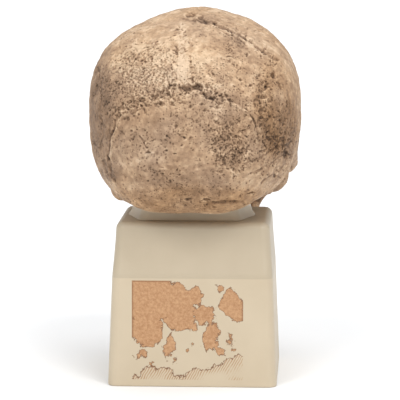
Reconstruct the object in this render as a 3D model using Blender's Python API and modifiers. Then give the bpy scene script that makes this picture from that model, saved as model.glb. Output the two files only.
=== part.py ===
"""Fossil hominin cranium, life size, on its moulded museum plinth.

The cranium is modelled whole in the Frankfurt frame (millimetres, origin midway
between the ear openings, +X to its left, -Y to the face, +Z up) and is then
parted into its bones along the sutures. It stands on its plinth by a hidden post.
"""

import math

import bmesh
import bpy
import numpy as np
from mathutils import Euler, Matrix, Vector

MM = 0.001
GAP = 0.3

# Braincase: half sizes and places of its greatest breadth, vertex and poles
VAULT_HALF_BREADTH = 66.0
BROADEST_Y = 22.0
BROADEST_Z = 43.0
FRONT_POLE = (-87.0, 36.0)
BACK_POLE = (87.0, 28.0)
VERTEX = (-5.0, 104.0)
LOWEST = (34.0, -21.5)
PLAN_POWER_FRONT = 2.6
PLAN_POWER_BACK = 2.35
ROOF_POWER = 2.0
NUCHAL_POWER = 2.7
FLOOR_POWER = 1.35
SECTION_POWER_TOP = 2.15
SECTION_POWER_BOTTOM = 3.0

# Orbits and nose
ORBIT_CENTRE = (31.0, -82.0, 16.5)
ORBIT_RADII = (19.5, 30.0, 16.5)
ORBIT_TURN_DEG = 24.0
NOSE_HALF_BREADTH = 14.0
NOSE_FLOOR_Z = -27.0

# Upper jaw: a half ellipse in front that runs on in straight sides
ALVEOLAR_Z = -48.0
ARCH_HALF_BREADTH = 26.5
ARCH_FRONT_Y = -93.0
ARCH_BEND_Y = -70.0
# Each tooth: distance of its middle along the half arch from the midline, length, breadth, height
TEETH = {
    "premolar": (35.2, 7.2, 9.5, 6.5),
    "first_molar": (44.5, 11.0, 11.5, 6.2),
    "second_molar": (55.2, 10.2, 11.8, 6.0),
    "third_molar": (64.6, 8.5, 10.2, 5.5),
}
ROOT_DEPTH = 6.0
# The crown: how square it is, how flat its wall and ends, its neck, and its cusps' place and spread
CROWN_SQUARENESS = 3.2
CROWN_WALL_POWER = 3.6
CROWN_END_POWER = 0.55
NECK_SHARE = 0.86
CUSP_HEIGHT = 0.8
CUSP_OFFSET = 0.42
CUSP_SPREAD = 0.05
# Each empty socket: distance of its middle along the half arch
SOCKETS = {"central_incisor": 4.5, "lateral_incisor": 12.5, "canine": 20.0, "front_premolar": 27.8}
ARCH_LENGTH = 69.0

# Plinth, centred on its own axis: (height, half width, half depth)
PLINTH_HEIGHT = 102.0
PLINTH_LEVELS = (
    (0.0, 52.8, 52.0),
    (66.0, 50.2, 50.2),
    (70.0, 50.0, 49.3),
    (79.0, 49.3, 46.4),
    (90.0, 48.5, 43.6),
    (PLINTH_HEIGHT, 47.9, 42.0),
)
PLINTH_CORNER = 6.0
# Post, widest in the middle of its depth, with this share of its width left at its two ends
POST_HEIGHT = 20.0
POST_LEVELS = (
    (0.0, 41.6, 31.0),
    (3.0, 39.4, 29.2),
    (7.0, 38.2, 28.2),
    (POST_HEIGHT, 38.0, 28.0),
)
POST_END_SHARE = 0.76
POST_CORNER = 5.0

# Where the cranium stands over the plinth
SKULL_ABOVE_DECK = 27.0
SKULL_YAW_DEG = -2.0
PLINTH_PLACE = (0.14, 14.38)
POST_PLACE = (2.7, 16.38)
SKULL_PLACE = (-0.76, 5.38)

# Meshing
BLEND_VOXEL = 1.6
DETAIL_VOXEL = 1.4
CRANIUM_TRIANGLES = 7000


def clear_scene():
    """Removes every object of the startup scene."""
    for obj in list(bpy.data.objects):
        bpy.data.objects.remove(obj)


def new_collection(name):
    """A collection linked to the scene."""
    made = bpy.data.collections.new(name)
    bpy.context.scene.collection.children.link(made)
    return made


def into(collection, obj):
    """Moves obj from the collections it is in to this one."""
    for held in list(obj.users_collection):
        held.objects.unlink(obj)
    collection.objects.link(obj)
    return obj


def material(name, colour, roughness):
    """A Principled material of one colour."""
    made = bpy.data.materials.new(name)
    made.use_nodes = True
    shader = made.node_tree.nodes["Principled BSDF"]
    shader.inputs["Base Color"].default_value = (*colour, 1.0)
    shader.inputs["Roughness"].default_value = roughness
    return made


def settle(obj):
    """Replaces obj's mesh by the one that its modifiers make."""
    bpy.context.view_layer.update()
    graph = bpy.context.evaluated_depsgraph_get()
    made = bpy.data.meshes.new_from_object(obj.evaluated_get(graph))
    old = obj.data
    obj.modifiers.clear()
    obj.data = made
    bpy.data.meshes.remove(old)
    return obj


def discard(obj):
    """Removes an object together with its mesh."""
    mesh = obj.data
    bpy.data.objects.remove(obj)
    bpy.data.meshes.remove(mesh)


def ellipsoid(name, centre, radii, turn=(0.0, 0.0, 0.0), segments=28):
    """A closed ellipsoid: centre and radii in millimetres, turn in degrees."""
    bpy.ops.mesh.primitive_uv_sphere_add(segments=segments, ring_count=segments // 2, radius=1.0)
    obj = bpy.context.object
    obj.name = name
    size = Matrix.Diagonal((*(radius * MM for radius in radii), 1.0))
    rotation = Euler([math.radians(angle) for angle in turn]).to_matrix().to_4x4()
    obj.data.transform(Matrix.Translation(Vector(centre) * MM) @ rotation @ size)
    return obj


def strut(name, points):
    """A closed rod through points of (x, y, z, radius), in millimetres, as a welded mesh."""
    data = bpy.data.curves.new(name, "CURVE")
    data.dimensions = "3D"
    data.bevel_depth = MM
    data.bevel_resolution = 3
    data.resolution_u = 4
    data.use_fill_caps = True
    spline = data.splines.new("BEZIER")
    spline.bezier_points.add(len(points) - 1)
    for knot, (x, y, z, radius) in zip(spline.bezier_points, points):
        knot.co = Vector((x, y, z)) * MM
        knot.handle_left_type = knot.handle_right_type = "AUTO"
        knot.radius = radius
    guide = bpy.data.objects.new(name, data)
    bpy.context.scene.collection.objects.link(guide)
    bpy.context.view_layer.update()
    graph = bpy.context.evaluated_depsgraph_get()
    mesh = bpy.data.meshes.new_from_object(guide.evaluated_get(graph))
    bpy.data.objects.remove(guide)
    bpy.data.curves.remove(data)
    weld = bmesh.new()
    weld.from_mesh(mesh)
    bmesh.ops.remove_doubles(weld, verts=weld.verts, dist=0.01 * MM)
    bmesh.ops.recalc_face_normals(weld, faces=weld.faces)
    weld.to_mesh(mesh)
    weld.free()
    obj = bpy.data.objects.new(name, mesh)
    bpy.context.scene.collection.objects.link(obj)
    return obj


def combine(base, others, operation):
    """Joins the others to base, or cuts them from it, with one Boolean, and removes them."""
    group = new_collection("operands")
    for obj in others:
        into(group, obj)
    modifier = base.modifiers.new(operation.lower(), "BOOLEAN")
    modifier.operation = operation
    modifier.operand_type = "COLLECTION"
    modifier.collection = group
    modifier.solver = "MANIFOLD"
    settle(base)
    for obj in others:
        discard(obj)
    bpy.data.collections.remove(group)
    return base


def remesh(obj, voxel, rounds):
    """Remeshes obj evenly at a voxel size in millimetres and smooths it."""
    grid = obj.modifiers.new("remesh", "REMESH")
    grid.mode = "VOXEL"
    grid.voxel_size = voxel * MM
    smooth = obj.modifiers.new("smooth", "SMOOTH")
    smooth.factor = 0.5
    smooth.iterations = rounds
    return settle(obj)


def keep_largest(obj):
    """Keeps only the largest closed surface of obj."""
    bm = bmesh.new()
    bm.from_mesh(obj.data)
    bm.faces.ensure_lookup_table()
    seen, islands = set(), []
    for start in bm.faces:
        if start.index in seen:
            continue
        seen.add(start.index)
        island, queue = [], [start]
        while queue:
            face = queue.pop()
            island.append(face)
            for edge in face.edges:
                for other in edge.link_faces:
                    if other.index not in seen:
                        seen.add(other.index)
                        queue.append(other)
        islands.append(island)
    largest = max(islands, key=len)
    loose = [face for island in islands if island is not largest for face in island]
    bmesh.ops.delete(bm, geom=loose, context="FACES")
    bm.to_mesh(obj.data)
    bm.free()
    return obj


def superellipse(share, power):
    """The height of a unit superellipse over a share of its half axis."""
    return (1.0 - min(1.0, abs(share)) ** power) ** (1.0 / power)


def vault_station(y):
    """Half breadth, height of the breadth, roof and floor of the braincase at y."""
    back = y > BROADEST_Y
    pole_y, pole_z = BACK_POLE if back else FRONT_POLE
    share = (y - BROADEST_Y) / (pole_y - BROADEST_Y)
    power = PLAN_POWER_BACK if back else PLAN_POWER_FRONT
    half = VAULT_HALF_BREADTH * superellipse(share, power)
    broad_z = BROADEST_Z + (pole_z - BROADEST_Z) * share * share
    roof_y, roof_z = BACK_POLE if y > VERTEX[0] else FRONT_POLE
    roof_share = (y - VERTEX[0]) / (roof_y - VERTEX[0])
    roof = roof_z + (VERTEX[1] - roof_z) * superellipse(roof_share, ROOF_POWER)
    floor_y, floor_z = BACK_POLE if y > LOWEST[0] else FRONT_POLE
    floor_power = NUCHAL_POWER if y > LOWEST[0] else FLOOR_POWER
    floor_share = (y - LOWEST[0]) / (floor_y - LOWEST[0])
    floor = floor_z - (floor_z - LOWEST[1]) * superellipse(floor_share, floor_power)
    return half, broad_z, roof, floor


def braincase():
    """The closed braincase: a sphere with its poles fore and aft, drawn to the vault's stations."""
    bpy.ops.mesh.primitive_uv_sphere_add(segments=64, ring_count=48, radius=1.0)
    obj = bpy.context.object
    obj.name = "cranium"
    middle = (FRONT_POLE[0] + BACK_POLE[0]) / 2
    reach = (BACK_POLE[0] - FRONT_POLE[0]) / 2
    for vertex in obj.data.vertices:
        along = max(-1.0, min(1.0, vertex.co.z))
        y = middle + reach * along
        half, broad_z, roof, floor = vault_station(y)
        angle = math.atan2(vertex.co.y, vertex.co.x)
        across, up = math.cos(angle), math.sin(angle)
        power = 2.0 / (SECTION_POWER_TOP if up > 0 else SECTION_POWER_BOTTOM)
        height = roof - broad_z if up > 0 else broad_z - floor
        x = half * math.copysign(abs(across) ** power, across)
        z = broad_z + height * math.copysign(abs(up) ** power, up)
        vertex.co = Vector((x, y, z)) * MM
    bm = bmesh.new()
    bm.from_mesh(obj.data)
    bmesh.ops.recalc_face_normals(bm, faces=bm.faces)
    bm.to_mesh(obj.data)
    bm.free()
    return obj


def mirrored(side, points):
    """Points of the left side, or their mirror images for side -1."""
    return [(side * point[0], *point[1:]) for point in points]


def face_masses(side):
    """The solid masses of one half of the face and cranial base."""
    rods = {
        "brow": [(0, -89.5, 34, 8.5), (13, -90.5, 37.5, 8.5), (27, -88, 40.5, 7.6),
                 (40, -83.5, 37.5, 6.8), (50, -77, 28.5, 6.0), (53.5, -73, 16, 5.2)],
        "cheek_column": [(53.5, -73, 18, 5.2), (53, -73.5, 6, 5.2), (50, -76, -6, 7.0)],
        "orbit_rim": [(51, -76, -5, 6.5), (40, -82, -7, 6.0), (27, -85.5, -5.5, 6.0),
                      (16.5, -87, 2, 5.5), (11.5, -86.5, 13, 5.0), (8.5, -84.5, 26, 6.0)],
        "cheek_stub": [(48, -75, -11, 7.0), (53, -67, -11, 5.6), (56, -60, -11, 4.2), (57, -56, -11, 3.0)],
        "cheek_root": [(42, -77, -14, 7.5), (33.5, -74.5, -22, 6.8), (27, -71, -33, 7.5)],
        "arch_root": [(55, 4, 6, 5.0), (59, -8, 5, 4.5), (60.5, -19, 4, 3.6), (60.5, -23, 4, 2.6)],
        "ear_crest": [(58, -6, 6, 4.0), (61.5, 4, 8, 3.6), (61.5, 16, 10, 3.2), (59, 30, 14, 2.4)],
        "pterygoid": [(12, -34, -4, 6.5), (12.5, -38, -18, 4.8), (13, -42, -30, 4.2), (14, -47, -38, 4.2)],
        "nose_side": [(7, -84, 23, 6.0), (9, -88, 10, 5.6), (12.5, -90, -2, 5.2), (17, -88.5, -14, 5.0),
                      (17.5, -88, -24, 6.0), (14, -89, -32, 6.5)],
        "canine_ridge": [(19, -86, -26, 6.0), (21, -84, -36, 5.5), (22, -83, -44, 4.5)],
    }
    lumps = {
        "cheekbone": ((42, -78.5, -12.5), (13.5, 8.5, 11.5), (0, 0, 25)),
        "orbit_wall": ((41, -62, 13), (11.0, 17, 23), (0, 0, 0)),
        "mastoid": ((47.5, 13, -7), (8.5, 13, 12.5), (12, 0, 0)),
        "jaw_joint": ((49, -14, 1), (12, 12, 7), (0, 0, 0)),
    }
    if side < 0:
        rods["cheek_stub"] = [(47, -75, -11, 7.0), (50.5, -69, -11, 5.4), (51, -65, -11, 4.0)]
        lumps["mastoid"] = ((45.5, 13, -5), (8.0, 12.5, 10.5), (12, 0, 0))
    made = [strut(name, mirrored(side, points)) for name, points in rods.items()]
    for name, (centre, radii, turn) in lumps.items():
        place = (side * centre[0], centre[1], centre[2])
        made.append(ellipsoid(name, place, radii, (turn[0], side * turn[1], side * turn[2])))
    return made


def arch_band(name, inset, z, radius):
    """A rod along the dental arch, set in from the teeth's middle line, at a height."""
    half = [arch_point(ARCH_LENGTH * index / 7, 1) for index in range(8)]
    right = [(-x, y) for (x, y), _ in reversed(half[1:])]
    left = [(x, y) for (x, y), _ in half]
    points = []
    for x, y in right + left:
        toward = Vector((x, y - ARCH_BEND_Y))
        shrunk = toward * (1 - inset / max(toward.length, 1.0))
        points.append((shrunk.x, shrunk.y + ARCH_BEND_Y if y < ARCH_BEND_Y else y, z, radius))
    return strut(name, points)


def middle_masses():
    """The solid masses on the midline: nose, upper jaw and cranial base."""
    return [
        strut("nasal_bridge", [(0, -82, 27, 9.0), (0, -86.5, 17, 7.5), (0, -90, 7, 8.0),
                               (0, -92.5, 0, 8.0)]),
        ellipsoid("ethmoid_block", (0, -68, 6), (16, 24, 24)),
        ellipsoid("jaw_body", (0, -70, -18), (31, 19, 24)),
        ellipsoid("jaw_floor", (0, -70, -34), (29, 25, 11)),
        arch_band("alveolar_edge", 0.0, ALVEOLAR_Z + 4, 6.6),
        arch_band("alveolar_wall", 1.0, ALVEOLAR_Z + 11, 7.0),
        ellipsoid("sphenoid_body", (0, -38, -2), (24, 22, 14)),
        ellipsoid("basal_block", (0, -8, -8), (36, 32, 12)),
    ]


def openings():
    """The cutters of the orbits, nose, palate, ear openings and jaw joints."""
    made = []
    for side in (-1, 1):
        x, y, z = ORBIT_CENTRE
        made.append(ellipsoid("orbit", (side * x, y, z), ORBIT_RADII, (0, 0, side * ORBIT_TURN_DEG)))
        made.append(ellipsoid("ear_opening", (side * 56, 1, -2), (14, 3.8, 4.6)))
        made.append(ellipsoid("jaw_joint_hollow", (side * 52, -13, -7), (10, 6.5, 5.5)))
        made.append(ellipsoid("cheek_hollow", (side * 25, -96, -18), (8, 7, 9)))
    made.append(ellipsoid("nose_lower", (0, -97, NOSE_FLOOR_Z + 12), (NOSE_HALF_BREADTH, 24, 12)))
    made.append(ellipsoid("nose_upper", (0, -97, -6), (9.5, 20, 10)))
    made.append(ellipsoid("palate", (0, -63, ALVEOLAR_Z - 1), (18.5, 25, 13)))
    footprint = [Vector(corner) for corner in ((-50, -120), (50, -120), (50, -30), (-50, -30))]
    made.append(slab("below_jaw", footprint, "XY", ALVEOLAR_Z - 20, ALVEOLAR_Z))
    return made


# Soft swells and hollows of the surface: (x, y, z), radius, height; a side one is mirrored
MIDDLE_SWELLS = (
    ((0, -89, 52), 13, -2.0),
    ((0, 83, 36), 34, 1.2),
    ((0, 79, -2), 10, -1.2),
    ((0, 84, 12), 12, 1.0),
    ((0, 25, 103), 11, 0.9),
    ((0, -10, 104), 11, 0.9),
)
# The crushed and broken places: the right side's lower edge, and the fuller left side
FOSSIL_SWELLS = (
    ((-57, 14, -6), 14, -3.0),
    ((-46, 45, -18), 18, -3.0),
    ((-64, 10, 12), 12, 1.2),
    ((55, 20, 76), 20, 1.2),
)
SIDE_SWELLS = (
    ((54, 26, 72), 26, 1.8),
    ((27, 18, 98), 17, -1.3),
    ((24, -20, 99), 15, -1.0),
    ((26, -76, 66), 18, 1.3),
    ((30, -84, 51), 11, -1.8),
    ((56, -62, 27), 20, -3.5),
    ((52, -48, 6), 16, -4.0),
    ((25, 62, -12), 18, 2.0),
    ((28, 80, 13), 12, 0.9),
    ((48, 62, 22), 12, -1.0),
    ((20, -60, 92), 16, 0.5),
)


def sculpt(obj):
    """Raises and sinks the surface of obj at its swells and hollows."""
    swells = list(MIDDLE_SWELLS + FOSSIL_SWELLS)
    for (x, y, z), radius, height in SIDE_SWELLS:
        swells += [((side * x, y, z), radius, height) for side in (-1, 1)]
    count = len(obj.data.vertices)
    places = np.empty(count * 3, np.float32)
    normals = np.empty(count * 3, np.float32)
    obj.data.vertices.foreach_get("co", places)
    obj.data.vertices.foreach_get("normal", normals)
    places = places.reshape(-1, 3)
    normals = normals.reshape(-1, 3)
    rise = np.zeros(count, np.float32)
    for centre, radius, height in swells:
        away = ((places - np.array(centre, np.float32) * MM) ** 2).sum(1)
        rise += height * MM * np.exp(-away / (radius * MM) ** 2)
    obj.data.vertices.foreach_set("co", (places + normals * rise[:, None]).ravel())
    obj.data.update()
    return obj


def arch_point(distance, side):
    """Place and heading, in degrees, of a point at a distance along the half dental arch."""
    depth = ARCH_BEND_Y - ARCH_FRONT_Y
    steps = 40
    x, y, run = 0.0, ARCH_FRONT_Y, 0.0
    for step in range(1, steps + 1):
        angle = math.pi / 2 * step / steps
        next_x = ARCH_HALF_BREADTH * math.sin(angle)
        next_y = ARCH_BEND_Y - depth * math.cos(angle)
        span = math.hypot(next_x - x, next_y - y)
        heading = math.degrees(math.atan2(next_x - x, next_y - y))
        if run + span >= distance:
            part = (distance - run) / span
            return (side * (x + (next_x - x) * part), y + (next_y - y) * part), -side * heading
        x, y, run = next_x, next_y, run + span
    return (side * (x + 0.06 * (distance - run)), y + distance - run), 0.0


def tooth(name, length, breadth, height):
    """A molar-shaped crown on its root, with four low cusps and its chewing face at z 0."""
    bm = bmesh.new()
    bmesh.ops.create_uvsphere(bm, u_segments=12, v_segments=8, radius=1.0)
    tall = height + ROOT_DEPTH
    for vertex in bm.verts:
        x, y, z = vertex.co
        ring = math.hypot(x, y)
        level = math.copysign(abs(z) ** CROWN_END_POWER, z)
        wide = 0.0
        if ring > 1e-6:
            power = CROWN_SQUARENESS
            wide = superellipse(z, CROWN_WALL_POWER) / (abs(x) ** power + abs(y) ** power) ** (1 / power)
        neck = 1.0 if level < 0.1 else NECK_SHARE
        off_cusp = (abs(x) - CUSP_OFFSET) ** 2 + (abs(y) - CUSP_OFFSET) ** 2
        cusp = CUSP_HEIGHT * math.exp(-off_cusp / CUSP_SPREAD) if z < -0.5 else 0.0
        vertex.co.x = x * wide * neck * breadth / 2
        vertex.co.y = y * wide * neck * length / 2
        vertex.co.z = (level + 1) / 2 * tall - cusp
    mesh = bpy.data.meshes.new(name)
    bmesh.ops.transform(bm, matrix=Matrix.Scale(MM, 4), verts=bm.verts)
    bmesh.ops.recalc_face_normals(bm, faces=bm.faces)
    bm.to_mesh(mesh)
    bm.free()
    obj = bpy.data.objects.new(name, mesh)
    bpy.context.scene.collection.objects.link(obj)
    return obj


def teeth():
    """The cheek teeth of both sides, with their roots sunk in the jaw."""
    made = []
    for side in (-1, 1):
        for name, (distance, length, breadth, height) in TEETH.items():
            if side == 1 and name == "premolar":
                continue
            (x, y), heading = arch_point(distance, side)
            crown = tooth(name, length, breadth, height)
            turn = Matrix.Rotation(math.radians(heading), 4, "Z")
            drop = Matrix.Translation(Vector((x, y, ALVEOLAR_Z - height)) * MM)
            crown.data.transform(drop @ turn)
            made.append(crown)
    return made


def sockets():
    """Cutters of the empty front sockets, and of the lost first premolar's."""
    made = []
    for side in (-1, 1):
        for name, distance in SOCKETS.items():
            (x, y), heading = arch_point(distance, side)
            made.append(ellipsoid(name, (x, y, ALVEOLAR_Z), (3.3, 2.6, 5.0), (0, 0, heading), 10))
    return made


def cranium():
    """The whole cranium as one closed body, before it is parted into bones."""
    whole = braincase()
    masses = middle_masses() + face_masses(1) + face_masses(-1)
    combine(whole, masses, "UNION")
    remesh(whole, BLEND_VOXEL, 7)
    sculpt(whole)
    combine(whole, openings(), "DIFFERENCE")
    remesh(whole, DETAIL_VOXEL, 4)
    keep_largest(whole)
    thin = whole.modifiers.new("thin", "DECIMATE")
    thin.ratio = CRANIUM_TRIANGLES / (2 * len(whole.data.polygons))
    settle(whole)
    combine(whole, sockets(), "DIFFERENCE")
    combine(whole, teeth(), "UNION")
    return keep_largest(whole)


def smooth_line(points, step):
    """Points about step apart along a curve through the given ones."""
    knots = [Vector(point) for point in points]
    padded = [2 * knots[0] - knots[1], *knots, 2 * knots[-1] - knots[-2]]
    made = [knots[0]]
    for before, start, end, after in zip(padded, padded[1:], padded[2:], padded[3:]):
        count = max(1, round((end - start).length / step))
        for index in range(1, count + 1):
            t = index / count
            made.append(0.5 * (2 * start + (end - before) * t
                               + (2 * before - 5 * start + 4 * end - after) * t * t
                               + (3 * start - before - 3 * end + after) * t ** 3))
    return made


def serrated(points, pitch, depth):
    """A zigzag line along the given one, as the edge of a toothed suture."""
    line = smooth_line(points, pitch / 2)
    made = [line[0]]
    for index in range(1, len(line) - 1):
        along = (line[index + 1] - line[index - 1]).normalized()
        across = Vector((-along.y, along.x))
        swing = depth * (0.6 + 0.4 * math.sin(2.3 * index)) * (1 if index % 2 else -1)
        made.append(line[index] + across * swing)
    return [*made, line[-1]]


def grown(outline, amount):
    """The outline moved out by an amount along its corners' normals."""
    area = sum(a.x * b.y - b.x * a.y for a, b in zip(outline, outline[1:] + outline[:1]))
    turn = 1.0 if area > 0 else -1.0
    made = []
    for index, corner in enumerate(outline):
        before = (corner - outline[index - 1]).normalized()
        after = (outline[(index + 1) % len(outline)] - corner).normalized()
        normal = Vector((before.y + after.y, -before.x - after.x)) * turn
        normal.normalize()
        spread = max(0.35, abs(normal.dot(Vector((after.y, -after.x)))))
        made.append(corner + normal * (amount / spread))
    return made


PLANES = {
    "XY": Matrix(((1, 0, 0, 0), (0, 1, 0, 0), (0, 0, 1, 0), (0, 0, 0, 1))),
    "XZ": Matrix(((1, 0, 0, 0), (0, 0, 1, 0), (0, 1, 0, 0), (0, 0, 0, 1))),
    "YZ": Matrix(((0, 0, 1, 0), (1, 0, 0, 0), (0, 1, 0, 0), (0, 0, 0, 1))),
}


def slab(name, outline, plane, low, high):
    """A flat outline in a plane of the skull frame, extruded from low to high across it."""
    data = bpy.data.curves.new(name, "CURVE")
    data.dimensions = "2D"
    data.fill_mode = "BOTH"
    data.extrude = (high - low) / 2 * MM
    spline = data.splines.new("POLY")
    spline.points.add(len(outline) - 1)
    for knot, corner in zip(spline.points, outline):
        knot.co = (corner.x * MM, corner.y * MM, 0.0, 1.0)
    spline.use_cyclic_u = True
    guide = bpy.data.objects.new(name, data)
    bpy.context.scene.collection.objects.link(guide)
    bpy.context.view_layer.update()
    graph = bpy.context.evaluated_depsgraph_get()
    mesh = bpy.data.meshes.new_from_object(guide.evaluated_get(graph))
    bpy.data.objects.remove(guide)
    bpy.data.curves.remove(data)
    mesh.transform(PLANES[plane] @ Matrix.Translation((0, 0, (low + high) / 2 * MM)))
    weld = bmesh.new()
    weld.from_mesh(mesh)
    bmesh.ops.remove_doubles(weld, verts=weld.verts, dist=0.001 * MM)
    bmesh.ops.recalc_face_normals(weld, faces=weld.faces)
    weld.to_mesh(mesh)
    weld.free()
    obj = bpy.data.objects.new(name, mesh)
    bpy.context.scene.collection.objects.link(obj)
    return obj


def copy_of(obj, name):
    """A copy of obj with its own mesh."""
    made = obj.copy()
    made.data = obj.data.copy()
    made.name = name
    bpy.context.scene.collection.objects.link(made)
    return made


def part_bone(whole, name, outline, plane, low, high):
    """Cuts the bone inside a slab out of the whole, with the suture's gap round it."""
    outline = [Vector(corner) for corner in outline]
    bone = copy_of(whole, name)
    combine(bone, [slab("region", outline, plane, low, high)], "INTERSECT")
    cutter = slab("region", grown(outline, GAP), plane, low - GAP, high + GAP)
    combine(whole, [cutter], "DIFFERENCE")
    return keep_largest(bone)


# The sutures, as lines in the plane that each is cut across
LAMBDOID_HALF = ((0, 65), (8, 61), (16, 56.5), (26, 52.5), (36, 49), (44, 43.5), (48, 34), (49.5, 22))
CORONAL = ((-22, 108), (-23, 98), (-29, 84), (-37, 66), (-45, 46), (-49, 28))
SPHENOFRONTAL = ((-55, 18), (-64, 13), (-120, 13))
SQUAMOSAL = ((-47, 6), (-45, 22), (-35, 36), (-18, 44.5), (0, 46), (18, 41.5), (32, 33), (44, 24.5),
             (58, 21.5), (76, 21))
NASAL_HALF = ((0, 23), (5, 22.5), (4.2, 14), (6, 6), (8.5, -3))
BONE_FLOOR = -70.0
BONE_TOP = 130.0
CHEEK_OUTLINE = ((31, 2), (33, -10), (38, -19), (46, -40), (80, -40), (80, 16), (31, 16))
CORE_TOP_Z = 16.0
CORE_HALF = 26.0
SPHENOID_FRONT = ((-50, 17), (-50, -12), (-39, -17), (-39, BONE_FLOOR), (60, BONE_FLOOR), (60, 17))
OCCIPITAL_FRONT_Y = 28.0
OUTSIDE = 100.0


def both_halves(half):
    """A line across the midline from its left half, drawn from right to left."""
    return [(-x, y) for x, y in reversed(half[1:])] + list(half)


def part_cranium(whole):
    """Parts the cranium into its bones and returns them."""
    bones = []
    arch = serrated(both_halves(LAMBDOID_HALF), 7.0, 0.9)
    outline = [(-47, BONE_FLOOR), (-49, 8), *arch, (49, 8), (47, BONE_FLOOR)]
    bones.append(part_bone(whole, "occipital_bone", outline, "XZ", OCCIPITAL_FRONT_Y, OUTSIDE))

    squama = smooth_line(SQUAMOSAL, 7.0)
    outline = [(-38, -14), *squama, (76, BONE_FLOOR), (-30, BONE_FLOOR)]
    bones.append(part_bone(whole, "temporal_bone_left", outline, "YZ", CORE_HALF, OUTSIDE))
    bones.append(part_bone(whole, "temporal_bone_right", outline, "YZ", -OUTSIDE, -CORE_HALF))

    outline = both_halves(NASAL_HALF)
    bones.append(part_bone(whole, "nasal_bones", outline, "XZ", -OUTSIDE - 20, -80.0))

    coronal = serrated(CORONAL, 7.0, 0.8)
    outline = [(-22, BONE_TOP), *coronal, *SPHENOFRONTAL, (-120, BONE_TOP)]
    bones.append(part_bone(whole, "frontal_bone", outline, "YZ", -OUTSIDE, OUTSIDE))

    sagittal = serrated([(0, -60), (0, 100)], 8.0, 0.8)
    for name, side in (("parietal_bone_left", 1), ("parietal_bone_right", -1)):
        outline = [(side * OUTSIDE, 100), (side * OUTSIDE, -60), *sagittal]
        bones.append(part_bone(whole, name, outline, "XY", CORE_TOP_Z, BONE_TOP))

    for name, side in (("zygomatic_bone_left", 1), ("zygomatic_bone_right", -1)):
        outline = [(side * x, z) for x, z in CHEEK_OUTLINE]
        bones.append(part_bone(whole, name, outline, "XZ", -OUTSIDE - 20, -48.0))

    bones.append(part_bone(whole, "sphenoid_and_base", SPHENOID_FRONT, "YZ", -OUTSIDE, OUTSIDE))

    outline = [(0, -120), (0, 0), (60, 0), (60, -120)]
    bones.append(part_bone(whole, "maxilla_left", outline, "XY", BONE_FLOOR, CORE_TOP_Z))
    bones.append(keep_largest(whole))
    whole.name = "maxilla_right"
    return bones


def block(name, levels, corner, base_z, end_share=1.0):
    """A rounded block drawn to levels of (height, half width, half depth), narrowed towards its ends."""
    height = levels[-1][0]
    bm = bmesh.new()
    bmesh.ops.create_cube(bm, size=2.0, matrix=Matrix.Translation((0, 0, 1)))
    bmesh.ops.scale(bm, vec=(1, 1, height / 2), verts=bm.verts)
    if end_share < 1.0:
        everything = bm.verts[:] + bm.edges[:] + bm.faces[:]
        bmesh.ops.bisect_plane(bm, geom=everything, plane_co=(0, 0, 0), plane_no=(0, 1, 0))
        level_cuts = [edge for edge in bm.edges if edge.verts[0].co.yz == edge.verts[1].co.yz
                      and abs(edge.verts[0].co.y) < 0.5]
        bmesh.ops.dissolve_edges(bm, edges=level_cuts)
    for level, _, _ in levels[1:-1]:
        everything = bm.verts[:] + bm.edges[:] + bm.faces[:]
        bmesh.ops.bisect_plane(bm, geom=everything, plane_co=(0, 0, level), plane_no=(0, 0, 1))
    heights, widths, depths = zip(*levels)
    for vertex in bm.verts:
        z = vertex.co.z
        narrowed = 1.0 - (1.0 - end_share) * abs(vertex.co.y)
        vertex.co.x = math.copysign(np.interp(z, heights, widths) * narrowed, vertex.co.x)
        vertex.co.y = math.copysign(np.interp(z, heights, depths), vertex.co.y)
    bmesh.ops.transform(bm, matrix=Matrix.Scale(MM, 4), verts=bm.verts)
    bmesh.ops.translate(bm, vec=(0, 0, base_z * MM), verts=bm.verts)
    weights = bm.edges.layers.float.new("bevel_weight_edge")
    top = (base_z + height) * MM
    for edge in bm.edges:
        low, high = sorted(vertex.co.z for vertex in edge.verts)
        if high - low > 0.1 * MM:
            edge[weights] = 1.0
        elif low > top - 0.1 * MM:
            edge[weights] = 0.45
        elif high < base_z * MM + 0.1 * MM:
            edge[weights] = 0.15
    mesh = bpy.data.meshes.new(name)
    bm.to_mesh(mesh)
    bm.free()
    obj = bpy.data.objects.new(name, mesh)
    bevel = obj.modifiers.new("round", "BEVEL")
    bevel.limit_method = "WEIGHT"
    bevel.width = corner * MM
    bevel.segments = 4
    return obj


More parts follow.
